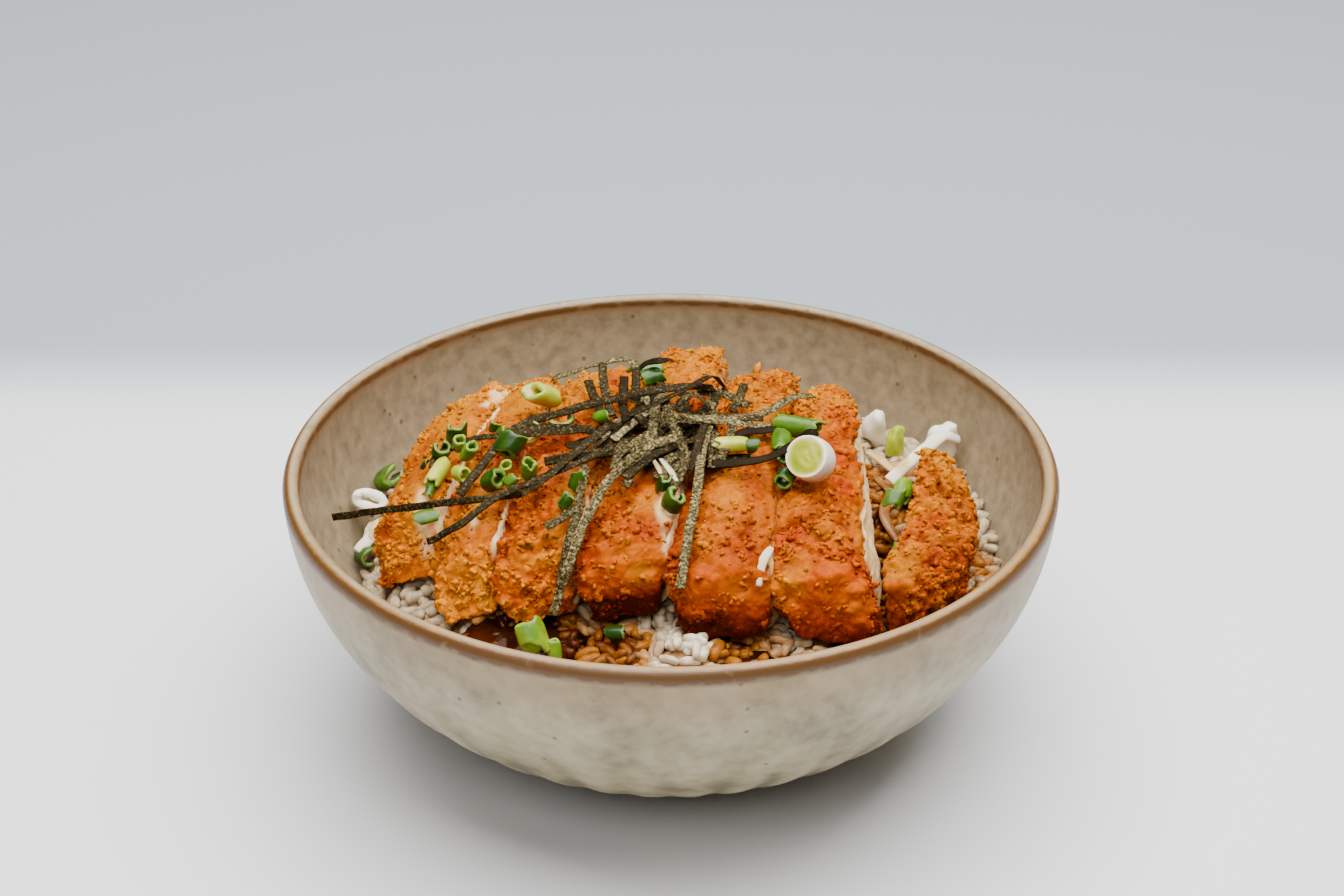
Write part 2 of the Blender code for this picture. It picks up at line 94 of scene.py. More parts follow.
GRAIN_FIELD = 84.0  # half the side of the square they are dropped in
GRAIN_LAYERS = (-1.8, -0.7, 0.4)
LOWEST_LAYER_SHARE = 0.4  # of the grains in the lowest layer, which hardly shows
RICE_PAINTED_SHADE = 0.10  # painted shade that greys all the rice, except for the heap at the front
UNSHADED_HEAP = (4.0, -51.0, 9.0, 8.0, RICE_PAINTED_SHADE)

# Where sauce has soaked the rice: middle x and y, reach in x and y, and how dark.
SAUCE_SPOTS = (
    (-33.0, -44.0, 15.0, 13.0, 1.0),
    (-13.0, -50.0, 10.0, 12.0, 0.62),
    (18.0, -52.0, 9.0, 12.0, 0.6),
    (32.0, -52.0, 8.0, 8.0, 0.4),
    (46.0, -26.0, 9.0, 40.0, 0.8),
    (43.0, -48.0, 9.0, 12.0, 1.0),
    (52.0, 14.0, 8.0, 14.0, 0.6),
    (72.0, -30.0, 9.0, 30.0, 0.35),
)
# Puddles of sauce: middle x and y, reach in x and y, and how far they stand above the rice.
SAUCE_PUDDLES = (
    (-35.0, -45.0, 15.0, 13.0, 1.7),
    (43.5, -47.0, 6.0, 9.0, 1.6),
    (47.5, -24.0, 4.0, 10.0, 1.2),
    (19.0, -52.0, 6.0, 4.0, 0.9),
)

# Cutlet slices, left to right: x of the left and right cut at the near end, y of the near end, the
# same three at the far end, thickness, lean of both cuts in degrees, rise of the top from left to
# right, lift of the far end, and how far the left and right sides bulge.
CUT_LEVEL = 55.0
SLICES = (
    (-67.5, -55.5, -20.0, -49.5, -38.5, 48.0, 17.0, 4.0, 16.0, 3.0, 0.0, -6.5, 0.0),
    (-54.5, -40.0, -37.5, -37.5, -26.0, 47.5, 17.5, 16.0, 14.0, 3.0, 0.0, 0.0, 0.0),
    (-39.0, -21.5, -41.0, -25.0, -4.0, 47.0, 17.5, 14.0, 12.0, 3.0, 0.0, 0.0, 0.0),
    (-20.5, -1.5, -43.5, -3.0, 15.0, 50.5, 18.0, 12.0, 12.0, 4.0, 3.0, 0.0, 0.0),
    (-0.5, 21.0, -50.0, 16.0, 32.0, 41.5, 18.0, 12.0, 12.0, 3.5, 0.0, 0.0, 0.0),
    (22.0, 43.0, -48.5, 33.0, 45.5, 34.5, 18.0, 12.0, 16.0, 3.0, 0.0, 0.0, 1.0),
    (44.5, 55.0, -44.0, 60.5, 64.0, 14.5, 15.5, 10.0, -6.0, -1.0, -1.5, 0.0, 9.5),
)
SLICE_GAP = 1.2  # between the rice and a slice's underside
SLICE_POWER = 5.0  # of the solid slice's section and outline
SLICE_SWELL_POWER = 2.5
SLICE_CROWN = 0.10  # share of the thickness that is lost at both sides
LEAN_PASSES = 3  # height and lean depend on each other, so they are worked out in turn
ABSENT = -100.0  # level of a slice where there is none
SLICE_RINGS = 210
SLICE_COLUMNS = 164
SLICE_SQUARENESS = 9.0  # of the visible slice; a higher power has blunter ends and edges
SLICE_SPREAD = (  # how far the left and right sides swell, so that neighbours' coats all but touch
    (0.0, 1.9), (1.9, 1.9), (1.9, 1.9), (1.9, 1.9), (1.9, 1.9), (1.9, 0.6), (0.0, 0.0),
)
SLICE_SLOPE = (6.0, 6.0, 5.0, 3.0, 3.5, 3.5, 2.0)  # how far the top of the near end lies back
CRUST_THICKNESS = 1.7

# Patches of a slice in its own coordinates, each from -1 to 1 along it and across it: middle along,
# middle across, reach along, reach across. Bare patches show meat, which the thin coat may partly
# cover; smooth ones have batter but few crumbs.
BARE_PATCHES = {
    1: ((-0.95, 0.66, 0.34, 0.22), (0.70, 0.85, 0.16, 0.35)),
    2: ((-0.74, 0.35, 0.16, 0.16),),
    3: ((-0.90, 0.90, 0.08, 0.14),),
    4: ((-0.62, 0.90, 0.24, 0.20),),
    5: ((-0.84, 1.00, 0.06, 0.10),),
}
BARE_SHARE = {1: 0.62, 2: 0.45, 3: 0.7, 4: 0.85}  # how much of the meat shows
SMOOTH_PATCHES = {
    1: ((-0.1, 0.3, 0.6, 0.8),),
    2: ((-0.6, 0.45, 0.40, 0.60), (0.5, 0.2, 0.3, 0.8)),
    3: ((-0.72, 0.7, 0.2, 0.4),),
    4: ((-0.45, 0.6, 0.40, 0.55), (-1.0, 0.35, 0.12, 0.75)),
    5: ((-0.45, 0.85, 0.45, 0.32), (-1.0, 0.3, 0.10, 0.8)),
    6: ((-0.98, 0.0, 0.13, 0.9), (-0.35, 0.9, 0.5, 0.2)),
    7: ((-0.95, -0.4, 0.35, 0.7), (-0.5, -1.0, 0.9, 0.15)),
}
# Each slice's coat: its share of crumbs, then what darkens it all over, what turns it from russet to
# golden, what darkens its lower part, most at its near end (painted shade, with some toasting), and
# what lightens the faces that look to the front (painted light).
SLICE_CRUMB = (0.65, 0.85, 1.0, 0.85, 0.9, 0.95, 1.15)
SLICE_TOAST = (-0.02, 0.02, 0.03, 0.03, 0.03, 0.01, 0.08)
SLICE_GOLD = (0.50, 0.50, 0.19, 0.19, 0.22, 0.15, 0.42)
LOWER_SHADE_AND_TOAST = (0.04, 0.02, 0.08, 0.80, 0.62, 0.46, 0.34)
FRONT_PAINTED_LIGHT = (-0.42, -0.46, -0.38, -0.24, -0.26, -0.26, -0.12)
CRUMBS_PER_SLICE = 1300
CRUMB_SHAPES = 4


def power(value, exponent):
    """The value's size raised to the exponent, with its sign kept."""
    return np.sign(value) * np.abs(value) ** exponent


def soft_step(value, low, high):
    """0 below low, 1 above high, and an eased climb between."""
    share = np.clip((value - low) / (high - low), 0.0, 1.0)
    return share * share * (3.0 - 2.0 * share)


def lattice(cell, seed):
    """One repeatable number from 0 to 1 for each whole-number cell: the fraction of a large sine."""
    mixed = np.sin(cell @ np.array([127.1, 311.7, 74.7]) + 19.19 * seed) * 43758.5453
    return mixed - np.floor(mixed)


def noise(points, size, seed=0):
    """Smooth noise from -1 to 1: the numbers at a cell's eight corners, blended by eased distances."""
    place = points / size
    cell = np.floor(place)
    share = soft_step(place - cell, 0.0, 1.0)
    total = 0.0
    for corner in np.ndindex(2, 2, 2):
        weight = np.prod(np.where(np.array(corner) == 1, share, 1.0 - share), axis=-1)
        total = total + weight * lattice(cell + np.array(corner), seed)
    return 2.0 * total - 1.0


def nearest_seat(points, size, seed=0):
    """Distance in cells to the nearest of the random seats, one in each cell: rounded clumps."""
    place = points / size
    cell = np.floor(place)
    nearest = np.full(points.shape[:-1], 9.0)
    for step in np.ndindex(3, 3, 3):
        near = cell + np.array(step) - 1.0
        seat = near + np.stack([lattice(near, seed + k) for k in range(3)], axis=-1)
        nearest = np.minimum(nearest, ((place - seat) ** 2).sum(axis=-1))
    return np.sqrt(nearest)


def bump(x, y, shape):
    """A smooth hill: height times exp of minus the squared distances over width and depth."""
    cx, cy, width, depth, height = shape
    return height * np.exp(-(((x - cx) / width) ** 2) - ((y - cy) / depth) ** 2)


def wall_radius(z, radius, depth):
    """Radius at level z of an elliptical wall that is widest at WIDEST_LEVEL."""
    below = np.clip((WIDEST_LEVEL - z) / depth, 0.0, 1.0)
    return radius * np.sqrt(1.0 - below**2)


def rice_height(x, y):
    """Level of the rice: a tilted base, one mound, local bumps and a low unevenness."""
    base = RICE_BASE + RICE_SLOPE_X * x / 80.0 + RICE_SLOPE_Y * y / 80.0
    away = ((x - RICE_PEAK[0]) / RICE_REACH[0]) ** 2 + ((y - RICE_PEAK[1]) / RICE_REACH[1]) ** 2
    mound = RICE_RISE * np.logaddexp(0.0, RICE_EASE * (1.0 - away**RICE_ROUNDNESS)) / RICE_EASE
    local = sum(bump(x, y, shape) for shape in RICE_BUMPS)
    return base + mound + local + 0.5 * np.sin(x / 7.1 + 1.0) * np.sin(y / 7.7)


def slice_frame(row, y):
    """Left and right side of a slice at CUT_LEVEL, at the given y, with s from near (0) to far (1)."""
    near_left, near_right, near_y, far_left, far_right, far_y = row[:6]
    s = np.clip((y - near_y) / (far_y - near_y), 0.0, 1.0)
    swell = 1.0 - np.abs(2.0 * s - 1.0) ** SLICE_SWELL_POWER
    left = near_left + (far_left - near_left) * s + row[11] * swell
    right = near_right + (far_right - near_right) * s + row[12] * swell
    return left, right, s


def lean_shift(row, t, z):
    """How far a slice's point moves along x: its cut's lean times the height over CUT_LEVEL."""
    lean = np.tan(np.radians(row[7] + (row[8] - row[7]) * t))
    return -lean * (z - CUT_LEVEL)


def slice_level(row, x, y, s, t, h):
    """Height of a slice's point: h runs from its underside (0) on the rice to its top (1)."""
    thickness, rise, lift = row[6], row[9], row[10]
    crown = 1.0 - SLICE_CROWN * (2.0 * t - 1.0) ** 2
    underside = rice_height(x, y) + SLICE_GAP + lift * s**2
    return underside + h * (thickness * crown + rise * (t - 0.5))


def slice_points(row, along, across, up):
    """Points of one slice from its own coordinates, each from -1 to 1."""
    y = row[2] + (row[5] - row[2]) * (along + 1.0) / 2.0
    t = (across + 1.0) / 2.0
    h = (up + 1.0) / 2.0
    left, right, s = slice_frame(row, y)
    x0 = left + (right - left) * t
    x = x0
    for _ in range(LEAN_PASSES):
        z = slice_level(row, x, y, s, t, h)
        x = x0 + lean_shift(row, t, z)
    return np.stack([x, y, z], axis=-1)


def slice_top(row, x, y):
    """Height of one slice's top over (x, y), or ABSENT where the slice isn't."""
    z = rice_height(x, y) + row[6]
    left, right, s = slice_frame(row, y)
    along = 2.0 * (y - row[2]) / (row[5] - row[2]) - 1.0
    for _ in range(LEAN_PASSES):
        t = np.clip((x - left) / (right - left), 0.0, 1.0)
        x0 = x - lean_shift(row, t, z)
        across = 2.0 * (x0 - left) / (right - left) - 1.0
        room = np.clip(1.0 - np.abs(along) ** SLICE_POWER, 0.0, 1.0) - np.abs(across) ** SLICE_POWER
        inside = room > 0.0
        h = 0.5 + 0.5 * np.clip(room, 0.0, 1.0) ** (1.0 / SLICE_POWER)
        z = np.where(inside, slice_level(row, x, y, s, np.clip((across + 1.0) / 2.0, 0.0, 1.0), h), z)
    return np.where(inside, z, ABSENT)


def food_top(x, y):
    """Height of the food seen from above: the highest slice, or the rice."""
    top = rice_height(x, y)
    for row in SLICES:
        top = np.maximum(top, slice_top(row, x, y))
    return top


def cover(x, y, reach=3.5):
    """The food's top with its grooves bridged: the highest of it within the reach."""
    top = food_top(x, y)
    for turn in np.arange(8) * math.pi / 4.0:
        top = np.maximum(top, food_top(x + reach * math.cos(turn), y + reach * math.sin(turn)))
    return top


def full_circle(count):
    """Equal turns round a circle, starting at 0."""
    return np.arange(count) * FULL_TURN / count


def ball_angles(rings, columns, gap):
    """Angles of a ball's rings from its first pole, which the first ring is a gap of one step away
    from, as the last is from the last pole; and the angles of its columns."""
    return (np.arange(rings) + gap)[:, None] / (rings + 2.0 * gap - 1.0) * math.pi, full_circle(columns)


def ball_faces(rings, columns):
    """Triangles of a closed surface: a first pole, rings of points closed on themselves, a last pole."""
    start = 1 + np.arange(rings)[:, None] * columns
    here = start + np.arange(columns)
    after = start + (np.arange(columns) + 1) % columns
    first = np.stack([np.zeros_like(here[0]), after[0], here[0]], axis=-1)
    last = np.stack([np.full_like(here[0], rings * columns + 1), here[-1], after[-1]], axis=-1)
    one = np.stack([here[:-1], after[:-1], after[1:]], axis=-1).reshape(-1, 3)
    two = np.stack([here[:-1], after[1:], here[1:]], axis=-1).reshape(-1, 3)
    return np.concatenate([first, one, two, last])


def loop_faces(rings, columns):
    """Triangles of a surface closed both ways round, such as a ring."""
    start = np.arange(rings)[:, None] * columns
    here = start + np.arange(columns)
    after = start + (np.arange(columns) + 1) % columns
    below, below_after = np.roll(here, -1, axis=0), np.roll(after, -1, axis=0)
    one = np.stack([here, after, below_after], axis=-1).reshape(-1, 3)
    two = np.stack([here, below_after, below], axis=-1).reshape(-1, 3)
    return np.concatenate([one, two])


def outward(points, faces):
    """Turns all faces round if the volume they enclose, summed from their corners, is negative."""
    a, b, c = (points[faces[:, k]] for k in range(3))
    volume = np.einsum("ij,ij->", a - a.mean(axis=0), np.cross(b - a, c - a))
    return faces[:, ::-1] if volume < 0.0 else faces


def point_normals(points, faces):
    """Each point's outward direction: the sum of its faces' area-weighted directions."""
    a, b, c = (points[faces[:, k]] for k in range(3))
    face = np.cross(b - a, c - a)
    total = np.zeros_like(points)
    for k in range(3):
        np.add.at(total, faces[:, k], face)
    return total / np.maximum(np.linalg.norm(total, axis=1), 1e-12)[:, None]


def with_poles(rings):
    """A ball's points from its rings: the middle of the first ring, the rings, the middle of the last."""
    flat = rings.reshape(-1, rings.shape[-1])
    return np.concatenate([rings[:1].mean(axis=1), flat, rings[-1:].mean(axis=1)])


def copies(points, faces, turns, places):
    """Many copies of one small shape: each copy's points are turned by its matrix, then moved."""
    moved = np.einsum("nij,pj->npi", turns, points) + places[:, None]
    step = np.arange(len(places))[:, None, None] * len(points)
    return moved.reshape(-1, 3), (faces[None] + step).reshape(-1, 3)


def joined(parts):
    """Several surfaces as one: all points, the faces counted on from part to part, and all values."""
    points, faces, *values = zip(*parts)
    starts = np.cumsum([0] + [len(each) for each in points[:-1]])
    counted = [each + start for each, start in zip(faces, starts)]
    return tuple(np.concatenate(each) for each in (points, counted, *values))


def make_piece(name, points, faces, finish, slot, replaced=(), **attributes):
    """One closed mesh in metres, shaded smooth, with named values at its points, riding on the root."""
    mesh = bpy.data.meshes.new(name)
    mesh.vertices.add(len(points))
    mesh.vertices.foreach_set("co", (points * MM).astype(np.float32).ravel())
    mesh.loops.add(faces.size)
    mesh.loops.foreach_set("vertex_index", faces.astype(np.int32).ravel())
    mesh.polygons.add(len(faces))
    mesh.polygons.foreach_set("loop_start", np.arange(0, faces.size, 3, dtype=np.int32))
    mesh.polygons.foreach_set("use_smooth", np.ones(len(faces), dtype=bool))
    mesh.update(calc_edges=True)
    for key, values in attributes.items():
        stored = mesh.attributes.new(key, "FLOAT", "POINT")
        stored.data.foreach_set("value", np.ascontiguousarray(values, dtype=np.float32))
    mesh.materials.append(finish)
    made = bpy.data.objects.new(name, mesh)
    bpy.context.scene.collection.objects.link(made)
    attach(made, "root")
    if replaced:
        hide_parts(*replaced)
    return made


def linear(code):
    """Linear colour from an sRGB hex code."""
    values = [int(code[k : k + 2], 16) / 255.0 for k in (1, 3, 5)]
    return (*(v / 12.92 if v <= 0.04045 else ((v + 0.055) / 1.055) ** 2.4 for v in values), 1.0)


# Sockets: of a colour Mix node, 0 is the share of B_COLOR; of a Map Range node, 1 to 4 are the range
# from which it maps and the range to which; of a multiply-add node, 1 is the factor, 2 the addend.
A_COLOR, B_COLOR, MIXED = 6, 7, 2


def wire(tree, node, values=None, links=None):
    """Sets constants on a node's sockets, and links others to a socket or to a node's main output."""
    for socket, value in (values or {}).items():
        node.inputs[socket].default_value = value
    for socket, source in (links or {}).items():
        if isinstance(source, bpy.types.Node):
            source = source.outputs[MIXED if source.bl_idname == "ShaderNodeMix" else 0]
        tree.links.new(source, node.inputs[socket])


def add(tree, kind, values=None, links=None, stops=None, **settings):
    """Adds a node with its settings, socket values, links and, on a ramp, its colour stops."""
    made = tree.nodes.new(kind)
    for name, setting in settings.items():
        setattr(made, name, setting)
    wire(tree, made, values, links)
    for number, (position, code) in enumerate(stops or ()):
        elements = made.color_ramp.elements
        stop = elements[number] if number < len(elements) else elements.new(position)
        stop.position = position
        stop.color = linear(code)
    return made


def new_material(name, *attributes):
    """A material, its tree and shader, the link that lays a pattern on it in object space, and the
    named values at its points."""
    made = bpy.data.materials.new(name)
    made.use_nodes = True
    tree = made.node_tree
    place = add(tree, "ShaderNodeTexCoord").outputs["Object"]
    values = (add(tree, "ShaderNodeAttribute", attribute_name=key).outputs["Fac"] for key in attributes)
    return made, tree, tree.nodes["Principled BSDF"], {"Vector": place}, *values


def unsettled(tree, value, pattern, reach):
    """The value, raised and lowered by up to half the reach where the pattern is bright and dark."""
    shift = add(tree, "ShaderNodeMath", {1: reach, 2: -reach / 2.0}, {0: pattern}, operation="MULTIPLY_ADD")
    return add(tree, "ShaderNodeMath", None, {0: value, 1: shift}, operation="ADD")


def per_metre(size):
    """Texture scale for a pattern whose features are this many millimetres apart."""
    return 1.0 / (size * MM)


def glazed_stoneware():
    """Stoneware under a thin satin ash glaze: oatmeal outside, warmer and mottled inside where it is
    thicker, dark iron pits about a millimetre wide, and an iron-brown band where it thins at the lip,
    with a warm flush below it."""
    made, tree, shader, place, inside, band, crest, groove = new_material(
        "ash_glazed_stoneware", "inside", "band", "crest", "groove")
    cloud = add(tree, "ShaderNodeTexNoise", {"Scale": per_metre(17.0), "Detail": 3.0}, place)
    mottle = add(tree, "ShaderNodeTexNoise", {"Scale": per_metre(3.2), "Detail": 4.0}, place)
    clouded = unsettled(tree, cloud, mottle, 0.6)
    fluted = add(tree, "ShaderNodeMath", {1: -0.45}, {0: groove, 2: clouded}, operation="MULTIPLY_ADD")
    outer = add(tree, "ShaderNodeValToRGB", None, {"Fac": fluted},
                ((0.20, "#70634A"), (0.74, "#B0A384"), (0.45, "#978A68")))
    inner = add(tree, "ShaderNodeValToRGB", None, {"Fac": mottle}, ((0.30, "#7E6D54"), (0.70, "#9E8C6D")))
    wall = add(tree, "ShaderNodeMix", None, {0: inside, A_COLOR: outer, B_COLOR: inner}, data_type="RGBA")
    pits = add(tree, "ShaderNodeTexVoronoi", {"Scale": per_metre(7.5)}, place)
    pit = add(tree, "ShaderNodeMapRange", {1: 0.05, 2: 0.10, 3: 0.75, 4: 0.0}, {0: pits})
    pitted = add(tree, "ShaderNodeMix", {B_COLOR: linear("#57422B")}, {0: pit, A_COLOR: wall},
                 data_type="RGBA")
    flushed = add(tree, "ShaderNodeMath", None, {0: cloud, 1: band}, operation="MULTIPLY")
    flush = add(tree, "ShaderNodeMapRange", {1: 0.0, 2: 0.03, 3: 0.0, 4: 0.32}, {0: flushed})
    warmed = add(tree, "ShaderNodeMix", {B_COLOR: linear("#9C6C32")}, {0: flush, A_COLOR: pitted},
                 data_type="RGBA")
    ragged = add(tree, "ShaderNodeMath", None, {0: mottle, 1: band}, operation="MULTIPLY")
    iron = add(tree, "ShaderNodeMapRange", {1: 0.03, 2: 0.36}, {0: ragged})
    banded = add(tree, "ShaderNodeMix", {B_COLOR: linear("#5C3A10")}, {0: iron, A_COLOR: warmed},
                 data_type="RGBA")
    # The crest is paler: partly the glaze's own paler lip, partly a painted highlight that the crest value
    # makes strongest at the front.
    pale_crest_and_highlight = add(tree, "ShaderNodeMath", None, {0: mottle, 1: crest}, operation="MULTIPLY")
    pale = add(tree, "ShaderNodeMapRange", {1: 0.2, 2: 0.7}, {0: pale_crest_and_highlight})
    lipped = add(tree, "ShaderNodeMix", {B_COLOR: linear("#A4763A")}, {0: pale, A_COLOR: banded},
                 data_type="RGBA")
    skin = add(tree, "ShaderNodeBump", {"Strength": 0.35, "Distance": 0.4 * MM}, {"Height": mottle})
    wire(tree, shader, {"Roughness": 0.42, "IOR": 1.52}, {"Base Color": lipped, "Normal": skin})
    return made


def fried_chicken():
    """Chicken breast in fried breadcrumbs: straw yellow, orange and red-brown with a little oil on it, and
    where it is cut, moist cream-white fibrous meat. Its tone also carries painted light and shade: lighter
    crumb tips and front faces, darker hollows, lower parts and near ends."""
    made, tree, shader, place, tone, meat, gold = new_material(
        "fried_panko_on_chicken", "tone", "meat", "gold")
    grit = add(tree, "ShaderNodeTexNoise", {"Scale": per_metre(0.9), "Detail": 3.0}, place)
    uneven = unsettled(tree, tone, grit, 0.36)
    russet = add(tree, "ShaderNodeValToRGB", None, {"Fac": uneven},
                 ((0.0, "#E48000"), (1.0, "#3A0B00"), (0.3, "#C25600"), (0.6, "#9C3300"), (0.8, "#701C00")))
    golden = add(tree, "ShaderNodeValToRGB", None, {"Fac": uneven},
                 ((0.0, "#F4A414"), (1.0, "#441400"), (0.3, "#D08200"), (0.6, "#AE6400"), (0.8, "#7E3800")))
    coat = add(tree, "ShaderNodeMix", None, {0: gold, A_COLOR: russet, B_COLOR: golden}, data_type="RGBA")
    grain = add(tree, "ShaderNodeTexNoise", {"Scale": per_metre(2.2), "Detail": 4.0}, place)
    flesh = add(tree, "ShaderNodeValToRGB", None, {"Fac": grain}, ((0.30, "#E8B468"), (0.62, "#FFE8B0")))
    colour = add(tree, "ShaderNodeMix", None, {0: meat, A_COLOR: coat, B_COLOR: flesh}, data_type="RGBA")
    crumbs = add(tree, "ShaderNodeBump", {"Strength": 0.5, "Distance": 0.4 * MM}, {"Height": grit})
    oiled = {"Roughness": 0.34, "IOR": 1.4, "Specular IOR Level": 0.2, "Specular Tint": linear("#FF9800"),
             "Subsurface Weight": 0.18, "Subsurface Radius": (1.0, 0.4, 0.05), "Subsurface Scale": 1.8 * MM}
    wire(tree, shader, oiled, {"Base Color": colour, "Normal": crumbs})
    return made


def steamed_rice():
    """Steamed short-grain rice: moist translucent white grains, tan to brown where sauce soaked in, and a
    little grey where painted shade is laid on.
    """
    made, tree, shader, place, sauce = new_material("steamed_rice", "sauce")
    haze = add(tree, "ShaderNodeTexNoise", {"Scale": per_metre(1.8), "Detail": 2.0}, place)
    grain = add(tree, "ShaderNodeValToRGB", None, {"Fac": haze}, ((0.35, "#C4AE8A"), (0.65, "#F4E4C8")))
    # The grey stop at 0.10 is painted shade, laid on all the rice but the heap at the front.
    stained = add(tree, "ShaderNodeValToRGB", None, {"Fac": sauce},
                  ((0.0, "#FFFFFF"), (1.0, "#381002"), (0.10, "#CCC6BC"), (0.35, "#B8781E"),
                   (0.72, "#5C2600")))
    colour = add(tree, "ShaderNodeMix", {0: 1.0}, {A_COLOR: grain, B_COLOR: stained}, data_type="RGBA",
                 blend_type="MULTIPLY")
    moist = {"Roughness": 0.28, "IOR": 1.45, "Specular IOR Level": 0.25, "Specular Tint": linear("#FFE4BC"),
             "Subsurface Weight": 0.5, "Subsurface Radius": (1.0, 0.75, 0.5), "Subsurface Scale": 1.5 * MM}
    wire(tree, shader, moist, {"Base Color": colour})
    return made


def soy_sauce():
    """Dark soy and dashi sauce in a thin wet layer: red-brown, smooth and glossy."""
    made, tree, shader, place = new_material("soy_sauce")
    depth = add(tree, "ShaderNodeTexNoise", {"Scale": per_metre(6.0), "Detail": 2.0}, place)
    colour = add(tree, "ShaderNodeValToRGB", None, {"Fac": depth}, ((0.35, "#140500"), (0.7, "#3A1402")))
    wet = {"Roughness": 0.1, "IOR": 1.36, "Specular IOR Level": 0.25, "Specular Tint": linear("#D8A070")}
    wire(tree, shader, wet, {"Base Color": colour})
    return made


def dried_nori():
    """Roasted nori cut in shreds: dark olive paper, mottled, whose grey-beige flecks half a millimetre wide
    are painted highlights standing for glints off its pressed, crinkled fibres."""
    made, tree, shader, place, tone = new_material("roasted_nori", "tone")
    glint_and_fibre_noise = add(tree, "ShaderNodeTexNoise",
                {"Scale": per_metre(0.65), "Detail": 4.0, "Roughness": 0.75}, place)
    shift = add(tree, "ShaderNodeMath", None, {0: glint_and_fibre_noise, 1: tone}, operation="ADD")
    colour = add(tree, "ShaderNodeValToRGB", None, {"Fac": shift},
                 ((0.40, "#150C03"), (0.78, "#CEC29C"), (0.52, "#30260F"), (0.64, "#766840")))
    fibre = add(tree, "ShaderNodeBump", {"Strength": 0.6, "Distance": 0.3 * MM}, {"Height": glint_and_fibre_noise})
    dry = {"Roughness": 0.5, "IOR": 1.5, "Specular IOR Level": 0.12, "Specular Tint": linear("#FFE2B0")}
    wire(tree, shader, dry, {"Base Color": colour, "Normal": fibre})
    return made


def fresh_scallion():
    """Scallion and leek, freshly cut: deep green skin, paler towards the root, near-white wet cut
    ends with fine rings."""
    made, tree, shader, place, tone, cut = new_material("fresh_scallion", "tone", "cut")
    vein = add(tree, "ShaderNodeTexNoise", {"Scale": per_metre(2.0), "Detail": 3.0}, place)
    skin = add(tree, "ShaderNodeValToRGB", None, {"Fac": unsettled(tree, tone, vein, 0.3)},
               ((0.0, "#1E3C06"), (1.0, "#F8F0DC"), (0.3, "#5C8410"), (0.55, "#ACB424"), (0.78, "#DCCC62")))
    end = add(tree, "ShaderNodeMix", {B_COLOR: linear("#8AA544")}, {0: cut, A_COLOR: skin}, data_type="RGBA")
    crisp = {"Roughness": 0.3, "IOR": 1.4,
             "Subsurface Weight": 0.2, "Subsurface Radius": (0.6, 1.0, 0.3), "Subsurface Scale": 1.2 * MM}
    wire(tree, shader, crisp, {"Base Color": end})
    return made


def soft_onion():
    """Softened white onion and leek: translucent cream with faint veins, tinted amber by frying oil."""
    made, tree, shader, place, tone = new_material("soft_white_onion", "tone")
    vein = add(tree, "ShaderNodeTexNoise", {"Scale": per_metre(3.0), "Detail": 3.0}, place)
    colour = add(tree, "ShaderNodeValToRGB", None, {"Fac": unsettled(tree, tone, vein, 0.3)},
                 ((0.0, "#F4ECDC"), (1.0, "#7A4410"), (0.3, "#E2D2B0"), (0.6, "#C9A060")))
    soft = {"Roughness": 0.22, "IOR": 1.4,
            "Subsurface Weight": 0.4, "Subsurface Radius": (1.0, 0.9, 0.7), "Subsurface Scale": 2.0 * MM}
    wire(tree, shader, soft, {"Base Color": colour})
    return made


def matt_table():
    """Pale matt tabletop that turns a little bluer behind the bowl, and darker there: painted shade."""
    made, tree, shader, place = new_material("matt_pale_table")
    split = add(tree, "ShaderNodeSeparateXYZ", None, place)
    # Behind the bowl the colour goes bluer and much darker: the darkness is painted shade standing for less
    # light on the backdrop.
    back = add(tree, "ShaderNodeMapRange", {1: 0.13, 2: 0.19}, {0: split.outputs["Y"]},
               interpolation_type="SMOOTHSTEP")
    colour = add(tree, "ShaderNodeMix", {A_COLOR: linear("#E4E5E7"), B_COLOR: linear("#9BA2A9")}, {0: back},
                 data_type="RGBA")
    wire(tree, shader, {"Roughness": 0.7}, {"Base Color": colour})
    return made


